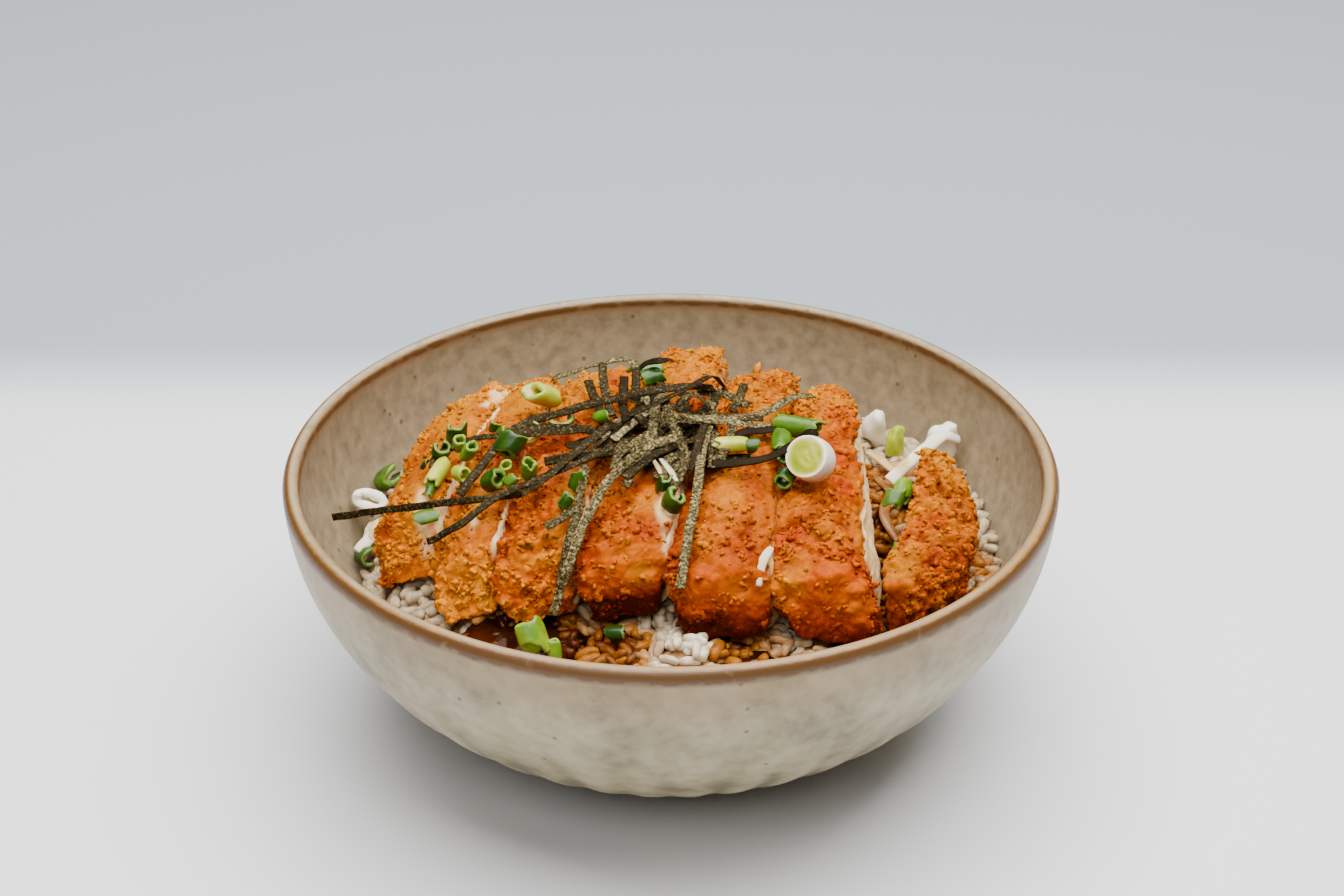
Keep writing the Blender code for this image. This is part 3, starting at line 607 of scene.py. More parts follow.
def bowl_profile():
    """The bowl's half section from the middle of its foot, up the outside, over the lip and down the
    inside: rows of radius, level, and how much each point is inside, on the iron band or on the crest."""
    lip = RIM_HEIGHT - LIP_RADIUS
    middle = OUTER_RADIUS - 0.2 - LIP_RADIUS
    rows = [(r, FOOT_RECESS_LEVEL) for r in np.linspace(4.0, FOOT_RECESS_RADIUS, 6)]
    rows += [(FOOT_BASE_INNER - 0.6, 1.2), (FOOT_BASE_INNER, 0.3), (FOOT_BASE_INNER + 0.5, 0.0)]
    rows += [(FOOT_BASE_OUTER - 0.5, 0.0), (FOOT_BASE_OUTER, 0.3), (FOOT_RADIUS - 0.4, 2.6)]
    edge = float(wall_radius(UNDERSIDE_LEVEL, OUTER_RADIUS, OUTER_DEPTH))
    for part in np.linspace(0.0, 1.0, 16)[:-1]:
        level = FOOT_HEIGHT + (UNDERSIDE_LEVEL - FOOT_HEIGHT) * part**FOOT_EASE
        rows.append((FOOT_RADIUS + (edge - FOOT_RADIUS) * part, level))
    for level in np.linspace(UNDERSIDE_LEVEL, lip, 52):
        rows.append((float(wall_radius(level, OUTER_RADIUS, OUTER_DEPTH)), level))
    outside = len(rows)
    for turn in np.radians(np.linspace(15.0, 165.0, 11)):
        rows.append((middle + LIP_RADIUS * math.cos(turn), lip + LIP_RADIUS * math.sin(turn)))
    crest = (outside + len(rows) - 1) / 2.0
    for level in np.linspace(lip, FLOOR_EDGE_LEVEL, 44):
        inner = float(wall_radius(level, INNER_RADIUS, INNER_DEPTH))
        rows.append((min(inner, middle - LIP_RADIUS), level))
    floor_edge = float(wall_radius(FLOOR_EDGE_LEVEL, INNER_RADIUS, INNER_DEPTH))
    for part in np.linspace(1.0, 0.0, 10)[1:]:
        level = FLOOR_LEVEL + (FLOOR_EDGE_LEVEL - FLOOR_LEVEL) * part**FLOOR_EASE
        rows.append((FLOOR_FLAT_RADIUS * 0.3 + (floor_edge - FLOOR_FLAT_RADIUS * 0.3) * part, level))
    rows = np.array(rows)
    order = np.arange(len(rows))
    inside = soft_step(order, crest - 1.0, crest + 3.0)
    level = rows[:, 1]
    outer_line = soft_step(level, lip - 1.9, lip - 0.3)
    outer_line *= 1.0 - soft_step(order, outside + 2.5, outside + 5.0)
    flush = 0.06 * soft_step(level, lip - 16.0, lip - 2.5) * (order < outside)
    outer_line = np.maximum(outer_line, flush)
    inner_line = 0.8 * soft_step(level, lip - 1.4, lip - 0.4)
    inner_line *= soft_step(order, outside + 7.5, outside + 10.0)
    band = np.where(order < crest, outer_line, inner_line)
    on_crest = 1.0 - soft_step(np.abs(order - crest), 1.5, 4.0)
    return rows, inside, band, on_crest


def make_bowl(finish):
    """The profile turned about Z; flutes of uneven length draw the lower outside in, with a darker
    streak in each, and the hand that threw it leaves the lip a little uneven."""
    rows, inside, band, crest = bowl_profile()
    angle = full_circle(BOWL_COLUMNS)
    radius = np.repeat(rows[:, :1], BOWL_COLUMNS, axis=1)
    level = np.repeat(rows[:, 1:], BOWL_COLUMNS, axis=1)
    around = np.stack([30.0 * np.cos(angle), 30.0 * np.sin(angle), 0.0 * angle], axis=-1)
    low, high = FLUTE_FADE
    reach = high + 7.0 * noise(around, 4.0, 3)
    strength = 0.75 + 0.25 * noise(around, 5.0, 8)
    wave = (0.5 - 0.5 * np.cos(FLUTES * angle)) ** 1.5
    flute = strength * wave * (1.0 - inside)[:, None]
    fade = np.clip((reach - level) / (reach - low), 0.0, 1.0) * (level > UNDERSIDE_LEVEL - 4.0)
    streak = (1.0 - soft_step(level, low, 1.2 * reach)) * flute
    radius = radius - FLUTE_DEPTH * fade * flute
    radius = radius * (1.0 + 0.0012 * noise(around, 22.0, 5) * (level > 8.0))
    level = level + 0.22 * noise(around, 16.0, 6) * soft_step(level, 40.0, RIM_HEIGHT)
    points = with_poles(np.stack([radius * np.cos(angle), radius * np.sin(angle), level], axis=-1))
    each_row = (np.repeat(row[:, None], BOWL_COLUMNS, axis=1) for row in (inside, band, crest))
    inside, band, crest, streak = (with_poles(value[..., None])[:, 0] for value in (*each_row, streak))
    turned = np.arctan2(points[:, 1], points[:, 0])
    # Painted highlight: the crest is palest at the front and least pale at the back and left, as the lamp
    # behind glints on the near lip.
    crest = crest * (0.66 - 0.30 * np.sin(turned) + 0.10 * np.cos(turned))
    faces = outward(points, ball_faces(len(rows), BOWL_COLUMNS))
    make_piece("stoneware_bowl", points, faces, finish, "stoneware", ("bowl",),
               inside=inside, band=band, crest=crest, groove=streak)


def visible_rice(x, y):
    """Level of the loose rice: the mound, hollowed against the wall on the right, heaped at the front."""
    return rice_height(x, y) + sum(bump(x, y, shape) for shape in LOOSE_BUMPS)


def sauce_amount(x, y):
    """How far sauce has soaked in at a place: the strongest of the spots, broken up by noise."""
    amount = np.zeros_like(x)
    flat = np.stack([x, y, 0.0 * x], axis=-1)
    for cx, cy, reach_x, reach_y, strength in SAUCE_SPOTS:
        away = np.hypot((x - cx) / reach_x, (y - cy) / reach_y)
        amount = np.maximum(amount, strength * (1.0 - soft_step(away, 0.6, 1.25)))
    return np.clip(amount + 0.22 * noise(flat, 5.0, 31) * (amount > 0.03), 0.0, 1.0)


def make_rice_core(finish):
    """The body of the rice under its loose grains: rings out to the wall, then down it to the floor."""
    rings, under, columns = 70, 8, 150
    angle = full_circle(columns)
    edge = np.full(columns, INNER_RADIUS)
    for _ in range(4):
        level = visible_rice(edge * np.cos(angle), edge * np.sin(angle)) - RICE_CORE_DROP
        edge = wall_radius(level, INNER_RADIUS, INNER_DEPTH) - 0.15
    share = np.linspace(0.015, 1.0, rings)[:, None]
    x, y = share * edge * np.cos(angle), share * edge * np.sin(angle)
    z = visible_rice(x, y) - RICE_CORE_DROP
    top = np.stack([x, y, z], axis=-1)
    top[..., 2] += 0.9 * (0.55 - nearest_seat(top, 3.0, 4)) + 0.4 * noise(top, 7.0, 5)
    down = np.linspace(0.0, 1.0, under + 1)[1:, None]
    low = level + (FLOOR_EDGE_LEVEL + 1.0 - level) * down
    wall = wall_radius(low, INNER_RADIUS, INNER_DEPTH) - 0.4
    side = np.stack([wall * np.cos(angle), wall * np.sin(angle), low], axis=-1)
    points = with_poles(np.concatenate([top, side]))
    faces = outward(points, ball_faces(rings + under, columns))
    # The core is a quarter step darker than the sauce alone makes it: painted shade in the gaps between the
    # grains.
    soaked = np.clip(sauce_amount(points[:, 0], points[:, 1]) + 0.25, 0.0, 1.0)
    make_piece("rice_core", points, faces, finish, "rice", ("rice_heap",), sauce=soaked)


def turn_matrices(heading, pitch, roll):
    """Rotation matrices that roll about X, pitch about Y and then turn about Z, one for each triple."""
    cz, sz, cy, sy, cx, sx = (f(a) for a in (heading, pitch, roll) for f in (np.cos, np.sin))
    one, nil = np.ones_like(cz), np.zeros_like(cz)
    about_z = np.array([[cz, -sz, nil], [sz, cz, nil], [nil, nil, one]])
    about_y = np.array([[cy, nil, sy], [nil, one, nil], [-sy, nil, cy]])
    about_x = np.array([[one, nil, nil], [nil, cx, -sx], [nil, sx, cx]])
    return np.einsum("ijn,jkn,kln->nil", about_z, about_y, about_x)


def turn_matrix(heading, roll):
    """One rotation matrix, from a heading about Z and a roll about X in degrees."""
    return turn_matrices(*(np.radians([value]) for value in (heading, 0.0, roll)))[0]


def aim_matrix(axis):
    """The rotation matrix that turns Z to the axis."""
    return np.array(Vector(axis).to_track_quat("Z", "Y").to_matrix())


def grain_shape():
    """One rice grain: an ellipse of revolution, flatter on one side and bent a little along its length."""
    rings, columns = 4, 7
    row, angle = ball_angles(rings, columns, 0.75)
    x = -GRAIN_LENGTH / 2.0 * np.cos(row) + 0.0 * angle
    out = np.sin(row) ** 0.5
    y = GRAIN_WIDTH / 2.0 * out * np.cos(angle)
    z = 0.82 * GRAIN_WIDTH / 2.0 * out * np.sin(angle) - 0.045 * x**2
    points = with_poles(np.stack([x, y, z], axis=-1))
    points[0, 0], points[-1, 0] = -GRAIN_LENGTH / 2.0, GRAIN_LENGTH / 2.0
    return points, outward(points, ball_faces(rings, columns))


def make_rice_grains(finish):
    """Loose grains in three layers on a jittered grid over the core, where no slice covers them."""
    rng = np.random.default_rng(7)
    steps = np.arange(-GRAIN_FIELD, GRAIN_FIELD, GRAIN_PITCH)
    x, y, layer = (a.ravel() for a in np.meshgrid(steps, steps, GRAIN_LAYERS, indexing="ij"))
    x = x + rng.uniform(-1.5, 1.5, x.size)
    y = y + rng.uniform(-1.5, 1.5, x.size)
    z = visible_rice(x, y) + layer + rng.normal(0.0, 0.35, x.size) - 0.6
    room = wall_radius(z, INNER_RADIUS, INNER_DEPTH) - np.hypot(x, y)
    hidden = np.ones(x.size, dtype=bool)
    for turn in np.arange(6) * math.pi / 3.0:
        hidden &= food_top(x + 4.0 * math.cos(turn), y + 4.0 * math.sin(turn)) > visible_rice(x, y) + 6.0
    kept = (room > 1.4) & ~hidden & ((layer > GRAIN_LAYERS[0]) | (rng.random(x.size) < LOWEST_LAYER_SHARE))
    x, y, z, room = x[kept], y[kept], z[kept], room[kept]
    count = len(x)
    heading = rng.uniform(0.0, FULL_TURN, count)
    pitch = rng.normal(0.0, 0.32, count) * np.clip(room / 4.0, 0.3, 1.0)
    turns = turn_matrices(heading, pitch, rng.uniform(0.0, FULL_TURN, count) * 0.2)
    turns = turns * rng.uniform(0.86, 1.12, count)[:, None, None]
    shape, shape_faces = grain_shape()
    points, faces = copies(shape, shape_faces, turns, np.stack([x, y, z], axis=-1))
    over = np.hypot(points[:, 0], points[:, 1])
    limit = wall_radius(points[:, 2], INNER_RADIUS, INNER_DEPTH) - 0.1
    points[:, :2] *= np.minimum(1.0, limit / np.maximum(over, 1e-6))[:, None]
    soaked = sauce_amount(x, y) * rng.uniform(0.5, 1.25, count)
    # Painted shade: every grain outside the heap at the front is greyed a little.
    soaked = np.clip(np.maximum(soaked, RICE_PAINTED_SHADE - bump(x, y, UNSHADED_HEAP)), 0.0, 1.0)
    make_piece("rice_grains", points, faces, finish, "rice", sauce=np.repeat(soaked, len(shape)))


def make_sauce(finish):
    """Thin puddles of sauce: a disc with a wavering edge that follows the rice, stands up between the
    grains in its middle and sinks among them at its edge."""
    rings, columns = 22, 64
    angle = full_circle(columns)
    share = np.linspace(0.04, 1.0, rings)[:, None]
    puddles = []
    for number, (cx, cy, reach_x, reach_y, lift) in enumerate(SAUCE_PUDDLES):
        waver = 1.0 + 0.16 * np.sin(3.0 * angle + number) + 0.10 * np.sin(7.0 * angle + 2.0 * number)
        x = cx + reach_x * share * waver * np.cos(angle)
        y = cy + reach_y * share * waver * np.sin(angle)
        top = np.stack([x, y, visible_rice(x, y) + lift - 2.6 * share**3], axis=-1)
        top[..., 2] += 0.55 * noise(top, 4.0, 60 + number)
        points = with_poles(np.concatenate([top, top[::-1] - np.array([0.0, 0.0, 1.2])]))
        puddles.append((points, outward(points, ball_faces(2 * rings, columns))))
    make_piece("sauce_film", *joined(puddles), finish, "rice")


def equal_steps(half_a, half_b, turn_from, turn_to, count):
    """Points of the curve |a|^p + |b|^p = 1 at equal steps of its length, measured with real half sizes."""
    turn = np.radians(np.linspace(turn_from, turn_to, 4001))
    a, b = np.sin(turn), np.cos(turn)
    size = (np.abs(a) ** SLICE_SQUARENESS + np.abs(b) ** SLICE_SQUARENESS) ** (-1.0 / SLICE_SQUARENESS)
    a, b = a * size, b * size
    length = np.concatenate([[0.0], np.cumsum(np.hypot(np.diff(a * half_a), np.diff(b * half_b)))])
    wanted = np.linspace(0.0, length[-1], count)
    return np.interp(wanted, length, a), np.interp(wanted, length, b)


def patch_mask(along, across, patches, ragged):
    """1 inside any of the elliptical patches of a slice, with their edges broken by the given noise."""
    mask = np.zeros_like(along)
    for middle_along, middle_across, reach_along, reach_across in patches:
        away = np.hypot((along - middle_along) / reach_along, (across - middle_across) / reach_across)
        mask = np.maximum(mask, 1.0 - soft_step(away + 0.45 * ragged, 0.6, 1.25))
    return mask


def slice_surface(number, row):
    """One slice: a blunt superquadric bar, then its coat or its cut meat as relief along its normals.
    The coat is broad swells, clumps at two sizes and grit, and meat is fine fibres. Returns points and
    faces, and at each point the tone, and how golden it is, how much meat it shows, how crumbed it is."""
    half_width = (row[1] - row[0] + row[4] - row[3]) / 4.0
    along, room = equal_steps((row[5] - row[2]) / 2.0, half_width, -90.0, 90.0, SLICE_RINGS + 2)
    along, room = along[1:-1, None], room[1:-1, None]
    flat_across, flat_up = equal_steps(half_width, row[6] / 2.0, 0.0, 360.0, SLICE_COLUMNS + 1)
    flat_across, flat_up = flat_across[:-1], flat_up[:-1]
    grid = np.stack([along + 0.0 * flat_across, room * flat_across, room * flat_up], axis=-1)
    own = with_poles(grid)
    own[0, 0], own[-1, 0] = -1.0, 1.0
    along, across, up = own.T
    spread = np.where(across < 0.0, *SLICE_SPREAD[number - 1]) / half_width * soft_step(up, -1.0, 0.3)
    points = slice_points(row, along, across * (1.0 + spread), up)
    points[:, 1] += SLICE_SLOPE[number - 1] * (0.5 + 0.5 * up) * soft_step(-along, 0.55, 0.95)
    faces = outward(points, ball_faces(SLICE_RINGS, SLICE_COLUMNS))
    normals = point_normals(points, faces)
    ragged = noise(points, 4.0, 10 + number)

    rim = CRUST_THICKNESS / row[6] * 2.0
    cut = soft_step(np.abs(across) + 0.07 * ragged, 0.86, 0.95)
    cut *= 1.0 - soft_step(np.abs(up), 0.92 - rim, 0.98 - rim)
    cut *= 1.0 - soft_step(np.abs(along), 0.93, 0.97)
    if number in (1, 7):
        cut *= (across > 0.0) if number == 1 else 0.0
    elif number == 6:
        cut *= np.where(across > 0.0, soft_step(along + 0.1 * ragged, -0.86, -0.72), 0.2)
    else:
        cut *= 0.2 + 0.8 * soft_step(-along, 0.4, 0.65) * (across > 0.0) * (number < 5)
    bare = patch_mask(along, across, BARE_PATCHES.get(number, ()), ragged) * (up > -0.3)
    bare *= BARE_SHARE.get(number, 1.0)
    meat = np.clip(np.maximum(cut, bare), 0.0, 1.0)
    smooth = patch_mask(along, across, SMOOTH_PATCHES.get(number, ()), ragged)
    smooth = np.maximum(smooth, soft_step(noise(points, 11.0, 40 + number), 0.5, 0.85))
    crumbed = SLICE_CRUMB[number - 1] * (1.0 - 0.7 * smooth)

    clump = np.clip(0.62 - nearest_seat(points, 3.4, 50 + number), -0.3, 0.6)
    crumb = np.clip(0.60 - nearest_seat(points, 1.7, 60 + number), -0.3, 0.6)
    grit = noise(points, 0.75, 70 + number)
    ends = soft_step(np.abs(along), 0.86, 1.0)
    swell = 0.9 * noise(points, 12.0, 20 + number) + 0.7 * noise(points, 6.0, 25 + number)
    swell += 1.2 * ends * noise(points, 5.0, 30 + number)
    bare_coat = 0.5 * noise(points, 2.6, 75 + number) + 0.3 * noise(points, 1.3, 78 + number) + 0.16 * grit
    coat = swell - 0.9 + crumbed * (2.1 * clump + 0.75 * crumb + 0.2 * grit) + smooth * bare_coat
    fibres = noise(points * np.array([1.0, 0.45, 1.0]), 1.6, 80 + number)
    flesh = 0.6 * swell - 0.7 + 0.32 * fibres + 0.25 * ragged
    relief = coat * (1.0 - meat) + flesh * meat

    # Painted shade on the lower part, most at the near end (with some toasting), and painted light on the
    # faces that look to the front.
    low = soft_step(-up, -0.35, 0.6) * (0.35 + 0.65 * soft_step(-along, 0.85, 0.97))
    front = soft_step(-normals[:, 1], 0.2, 0.9)
    tone = 0.64 + SLICE_TOAST[number - 1] + 0.08 * noise(points, 5.0, 90 + number)
    # Painted shade and painted light: darker in the hollows between clumps and crumbs, lighter on their tips.
    tone += 0.08 * noise(points, 15.0, 95 + number) - 0.40 * crumbed * (0.8 * crumb + 0.6 * clump)
    tone += LOWER_SHADE_AND_TOAST[number - 1] * low + FRONT_PAINTED_LIGHT[number - 1] * front - 0.03 * smooth + 0.02 * crumbed
    # More painted shade in the hollows between clumps; the far end is made lighter, painted light.
    tone += 0.08 * crumbed * soft_step(-clump, -0.02, 0.3) - 0.07 * soft_step(along, 0.1, 0.8)
    # With the lighter tone towards the far end, the golden shift there is painted light; the redder lower
    # part of slices 4 to 7 goes with the painted shade.
    gold = SLICE_GOLD[number - 1] + 0.50 * noise(points, 6.5, 120 + number) - 0.15 * front
    gold += 0.55 * soft_step(along, 0.0, 0.8) + 0.35 * smooth * (1.0 - front) - 0.35 * low * (number > 3)
    points = points + normals * relief[:, None]
    return points, faces, np.clip(tone, 0.0, 1.0), np.clip(gold, 0.0, 1.0), meat, crumbed * (1.0 - meat)


def crumb_shape(seed):
    """One crumb: a small ball of two rings and two poles, its points pushed in and out by noise."""
    rings, columns = 2, 5
    row, angle = ball_angles(rings, columns, 0.9)
    angle = angle + row
    x, y, z = np.cos(row) + 0.0 * angle, np.sin(row) * np.cos(angle), np.sin(row) * np.sin(angle)
    points = with_poles(np.stack([x, y, z], axis=-1))
    points[0], points[-1] = (1.0, 0.0, 0.0), (-1.0, 0.0, 0.0)
    points = points * (1.0 + 0.55 * noise(points + 5.0, 0.7, seed))[:, None]
    return points * np.array([1.0, 0.75, 0.6]), outward(points, ball_faces(rings, columns))


def crumbs_on(rng, points, faces, tone, gold, crumbed):
    """Crumbs bedded in a coat: seats drawn where it is crumbed, each crumb turned at random around the
    outward direction, in four shapes and many sizes. Returns points, faces, tones and how golden."""
    normals = point_normals(points, faces)
    chance = np.clip(crumbed, 0.0, None) ** 1.6 * (normals[:, 2] > -0.5)
    count = CRUMBS_PER_SLICE // CRUMB_SHAPES
    crumbs = []
    for seed in range(CRUMB_SHAPES):
        chosen = rng.choice(len(points), count, p=chance / chance.sum())
        facing = normals[chosen] + 0.7 * rng.normal(size=(count, 3))
        facing /= np.linalg.norm(facing, axis=1)[:, None]
        side = np.cross(facing, rng.normal(size=(count, 3)))
        side /= np.linalg.norm(side, axis=1)[:, None]
        turns = np.stack([side, np.cross(facing, side), facing], axis=-1)
        size = np.clip(rng.lognormal(-0.50, 0.36, count), 0.3, 1.4)
        turns = turns * size[:, None, None] * rng.uniform(0.7, 1.4, (count, 1, 3))
        shape, shape_faces = crumb_shape(seed)
        # Crumbs are a little lighter than the coat they sit in, the bigger ones more so: painted light on the
        # raised crumbs.
        each_tone = tone[chosen] - 0.10 * (size - 0.4) + rng.normal(-0.05, 0.08, count)
        values = (np.repeat(np.clip(each, 0.0, 1.0), len(shape)) for each in (each_tone, gold[chosen] + 0.05))
        crumbs.append((*copies(shape, shape_faces, turns, points[chosen]), *values))
    return joined(crumbs)


def make_slices(finish):
    """The seven slices, each with the crumbs bedded in its coat."""
    rng = np.random.default_rng(11)
    for number, row in enumerate(SLICES, start=1):
        *coat, meat, crumbed = slice_surface(number, row)
        crumbs = crumbs_on(rng, *coat, crumbed)
        points, faces, tone, gold, meat = joined(((*coat, meat), (*crumbs, 0.0 * crumbs[2])))
        make_piece(f"fried_slice_{number}", points, faces, finish, "crust", (f"katsu_slice_{number}",),
                   tone=tone, gold=gold, meat=meat)


def smooth_path(points, count):
    """A Catmull-Rom curve through the points, at equal shares of its parameter."""
    path = np.array(points, float)
    path = np.vstack([2.0 * path[0] - path[1], path, 2.0 * path[-1] - path[-2]])
    place = np.linspace(0.0, len(points) - 1, count)
    first = np.minimum(place.astype(int), len(points) - 2)
    u = (place - first)[:, None]
    a, b, c, d = (path[first + k] for k in range(4))
    return 0.5 * (2 * b + (c - a) * u + (2 * a - 5 * b + 4 * c - d) * u**2 + (3 * b - a - 3 * c + d) * u**3)


def flat_section(width, thickness, count=8):
    """A flat rounded section, |a|^3 + |b|^3 = 1 drawn out to the width and the thickness."""
    turn = (np.arange(count) + 0.5) * FULL_TURN / count
    across, outwards = power(np.cos(turn), 2.0 / 3.0), power(np.sin(turn), 2.0 / 3.0)
    return np.stack([width / 2.0 * across, thickness / 2.0 * outwards], axis=-1)


def sweep(path, section, tilt, scale=1.0):
    """Carries a flat section along a path. Its face looks up, tipped towards the front by the tilt in
    degrees, as nearly as its path allows; the section's first value runs across, its second outward."""
    ahead = np.gradient(path, axis=0)
    ahead /= np.linalg.norm(ahead, axis=1)[:, None]
    tip = np.radians(np.broadcast_to(tilt, len(path)))
    facing = np.stack([0.0 * tip, -np.sin(tip), np.cos(tip)], axis=-1)
    side = np.cross(ahead, facing)
    side /= np.linalg.norm(side, axis=1)[:, None]
    top = np.cross(side, ahead)
    size = np.broadcast_to(scale, len(path))[:, None, None]
    rings = path[:, None] + size * section[None, :, :1] * side[:, None] + section[None, :, 1:] * top[:, None]
    points = with_poles(rings)
    return points, outward(points, ball_faces(len(path), len(section)))


# Shreds of nori: the CAD strips first, under their own names, then the pile's, in the order in which
# they were dropped. Points of the middle line, and at each end how far the face tips to the front.
STRIP_WIDTH = 2.2
LEFT_STRIP_WIDTH = 1.75  # the single ones at the left are narrower
STRIP_THICKNESS = 0.3
SINGLE_STRIPS = {
    "left_level": (((-78, -1.5, 48.5), (-69.5, -8, 53.6), (-58, -15, 59.3), (-44.5, -20.5, 64.2),
                    (-33, -20.5, 65.6)), 58, 52),
    "left_low": (((-53.5, -29, 58.6), (-46, -28.5, 62.6), (-38, -22.5, 66.2), (-26, -17, 69),
                  (-13, -12.5, 73)), 50, 20),
    "left_high": (((-53, 2, 63.2), (-46, 3, 66.6), (-38, 1.5, 68.6), (-28, -1, 70.4),
                   (-19, -3, 72.4)), 12, 25),
    "front_hanging": (((-25.4, -45.4, 50), (-22, -41, 60), (-18.5, -32, 65.6), (-13.5, -21.5, 70),
                       (-6, -17, 75), (1.5, -13.5, 76.4)), 60, 30),
    "front_straight": (((2, -50, 59.6), (3.7, -39, 66), (5.6, -26, 69), (6.8, -14, 71), (9, 1, 73.4),
                        (9.6, 11, 73.6)), 50, 30),
    "right_high": (((33, 15.5, 71.4), (27.5, 12, 72.4), (20, 4, 72.6), (8, -1, 73.8), (-2, -3, 75.6)), 8, 30),
    "right_low": (((32.4, 2.5, 70.8), (22.5, -0.5, 72), (13, -1, 73.2), (1, -2, 75.4)), 6, 20),
    "back_arched": (((-28.5, 35, 66), (-22, 31, 70), (-16, 27, 74), (-10, 25, 76), (-7.6, 22, 75)), 20, 0),
}
PILE_STRIPS = (
    (((-8, 23, 74), (-5, 19, 78.4), (-2, 18, 79.4), (-0.5, 22, 77.6)), 30, 10),
    (((-7, 25, 73), (-3, 17, 75), (-1.5, 14, 73.4)), -20, -30),
    (((-16, 24, 75.6), (-16, 21, 74), (-15, 14, 72), (-13.5, 6, 71)), 40, 30),
    (((-8, 17, 78), (-8, 12, 76.4), (-8, 5, 75)), 40, 30),
    (((-11, 18, 75), (-11, 7, 74.4), (-10, -3, 74.6)), 40, 40),
    (((-19.5, 22, 72), (-17.5, 14, 71.4), (-15.5, 5, 71.6)), 30, 30),
    (((-47, -18, 64), (-43, -11.5, 66.8), (-40, -6, 68.6), (-36.5, 0, 70), (-31, 4, 71.2), (-22, 5, 73.4),
      (-10, 6, 76.4), (2, 8, 77.4), (10, 14, 74)), 50, 25),
    (((-37, -1, 69.4), (-30, 1.5, 70.2), (-23, -0.5, 71.4), (-17, -4, 72.6)), 20, 40),
    (((-54.5, -2, 61.8), (-53, 1.5, 63.6), (-48, 2.5, 65.8)), -10, 10),
    (((-33, -21.5, 66.2), (-29, -20, 68.4), (-24.5, -16, 70.4), (-19, -9, 72), (-14, -3, 73.4)), 5, 40),
    (((-27, -33, 64.4), (-24, -31, 65.6), (-19.5, -27, 67)), 15, 20),
    (((-19, -17, 71), (-19.5, -22, 69), (-20.5, -29, 66.2), (-22.5, -38, 61.6), (-24.6, -43, 54)), 0, -30),
    (((-1.5, 1, 77.6), (0, -6, 76.8), (2, -12, 75), (3, -16, 72.4), (2, -20, 70.4), (0, -26, 68.8)), 45, 30),
    (((10.5, 12, 73.8), (9, 4, 73.6), (7, -5, 73.4), (5.5, -12, 71.6), (4, -17, 69.8)), 10, 30),
    (((-10, -3, 76), (-2, 0, 78.2), (5, 7, 78.6), (9.5, 15, 76.6), (12, 17, 73.4), (12.5, 16, 71.4)),
     -10, -20),
    (((6, 12, 74.6), (12, 13, 73), (18, 10.5, 71.2)), 35, 20),
    (((17, 17, 73.6), (15.5, 12, 72), (14, 7, 71.6)), 30, 30),
    (((2, -2, 75.4), (8, 2, 73.6), (14, 1.5, 73), (21, 2, 72.4)), 20, 10),
    (((9, -16, 70.8), (15, -17.5, 72), (22, -17, 73.2), (27, -15.5, 75.6), (30.5, -15, 78.4),
      (32, -16, 77.6)), 25, 5),
    (((14, -6.5, 72.8), (18.5, -4, 72.6), (24, -2, 72)), 20, 10),
    (((14, -5, 74.6), (12.5, -11, 73), (11, -15, 71.2)), 40, 40),
    (((1, 1, 76.8), (5, 2, 78.8), (9, 4, 75)), 10, 20),
)
PILE_MIDDLE = (-3.0, -4.0)
PILE_REACH = (14.0, 13.0)
PILE_EXTRA = 44
PILE_HEADING = 40.0  # most shreds lie this way, in degrees from the X axis
PILE_SPREAD = 22.0
PILE_CROSSING = (0.25, 70.0)  # this share of them lies across the others, turned by so many degrees
PILE_LIFT = 4.8
PILE_TILT = (15.0, 32.0)  # mean and spread, in degrees


def shred(points, tilt_from, tilt_to, seed, width=STRIP_WIDTH):
    """One shred: a ribbon along a smooth path that curls and crinkles a little, with ragged edges."""
    path = smooth_path(points, 12 * len(points))
    share = np.linspace(0.0, 1.0, len(path))
    path = path + 0.22 * np.stack([noise(path, 4.0, seed + k) for k in range(3)], axis=-1)
    tilt = tilt_from + (tilt_to - tilt_from) * share + 10.0 * noise(path, 7.0, seed + 3)
    scale = 1.0 + 0.10 * noise(path, 2.2, seed + 4)
    return sweep(path, flat_section(width, STRIP_THICKNESS), tilt, scale)


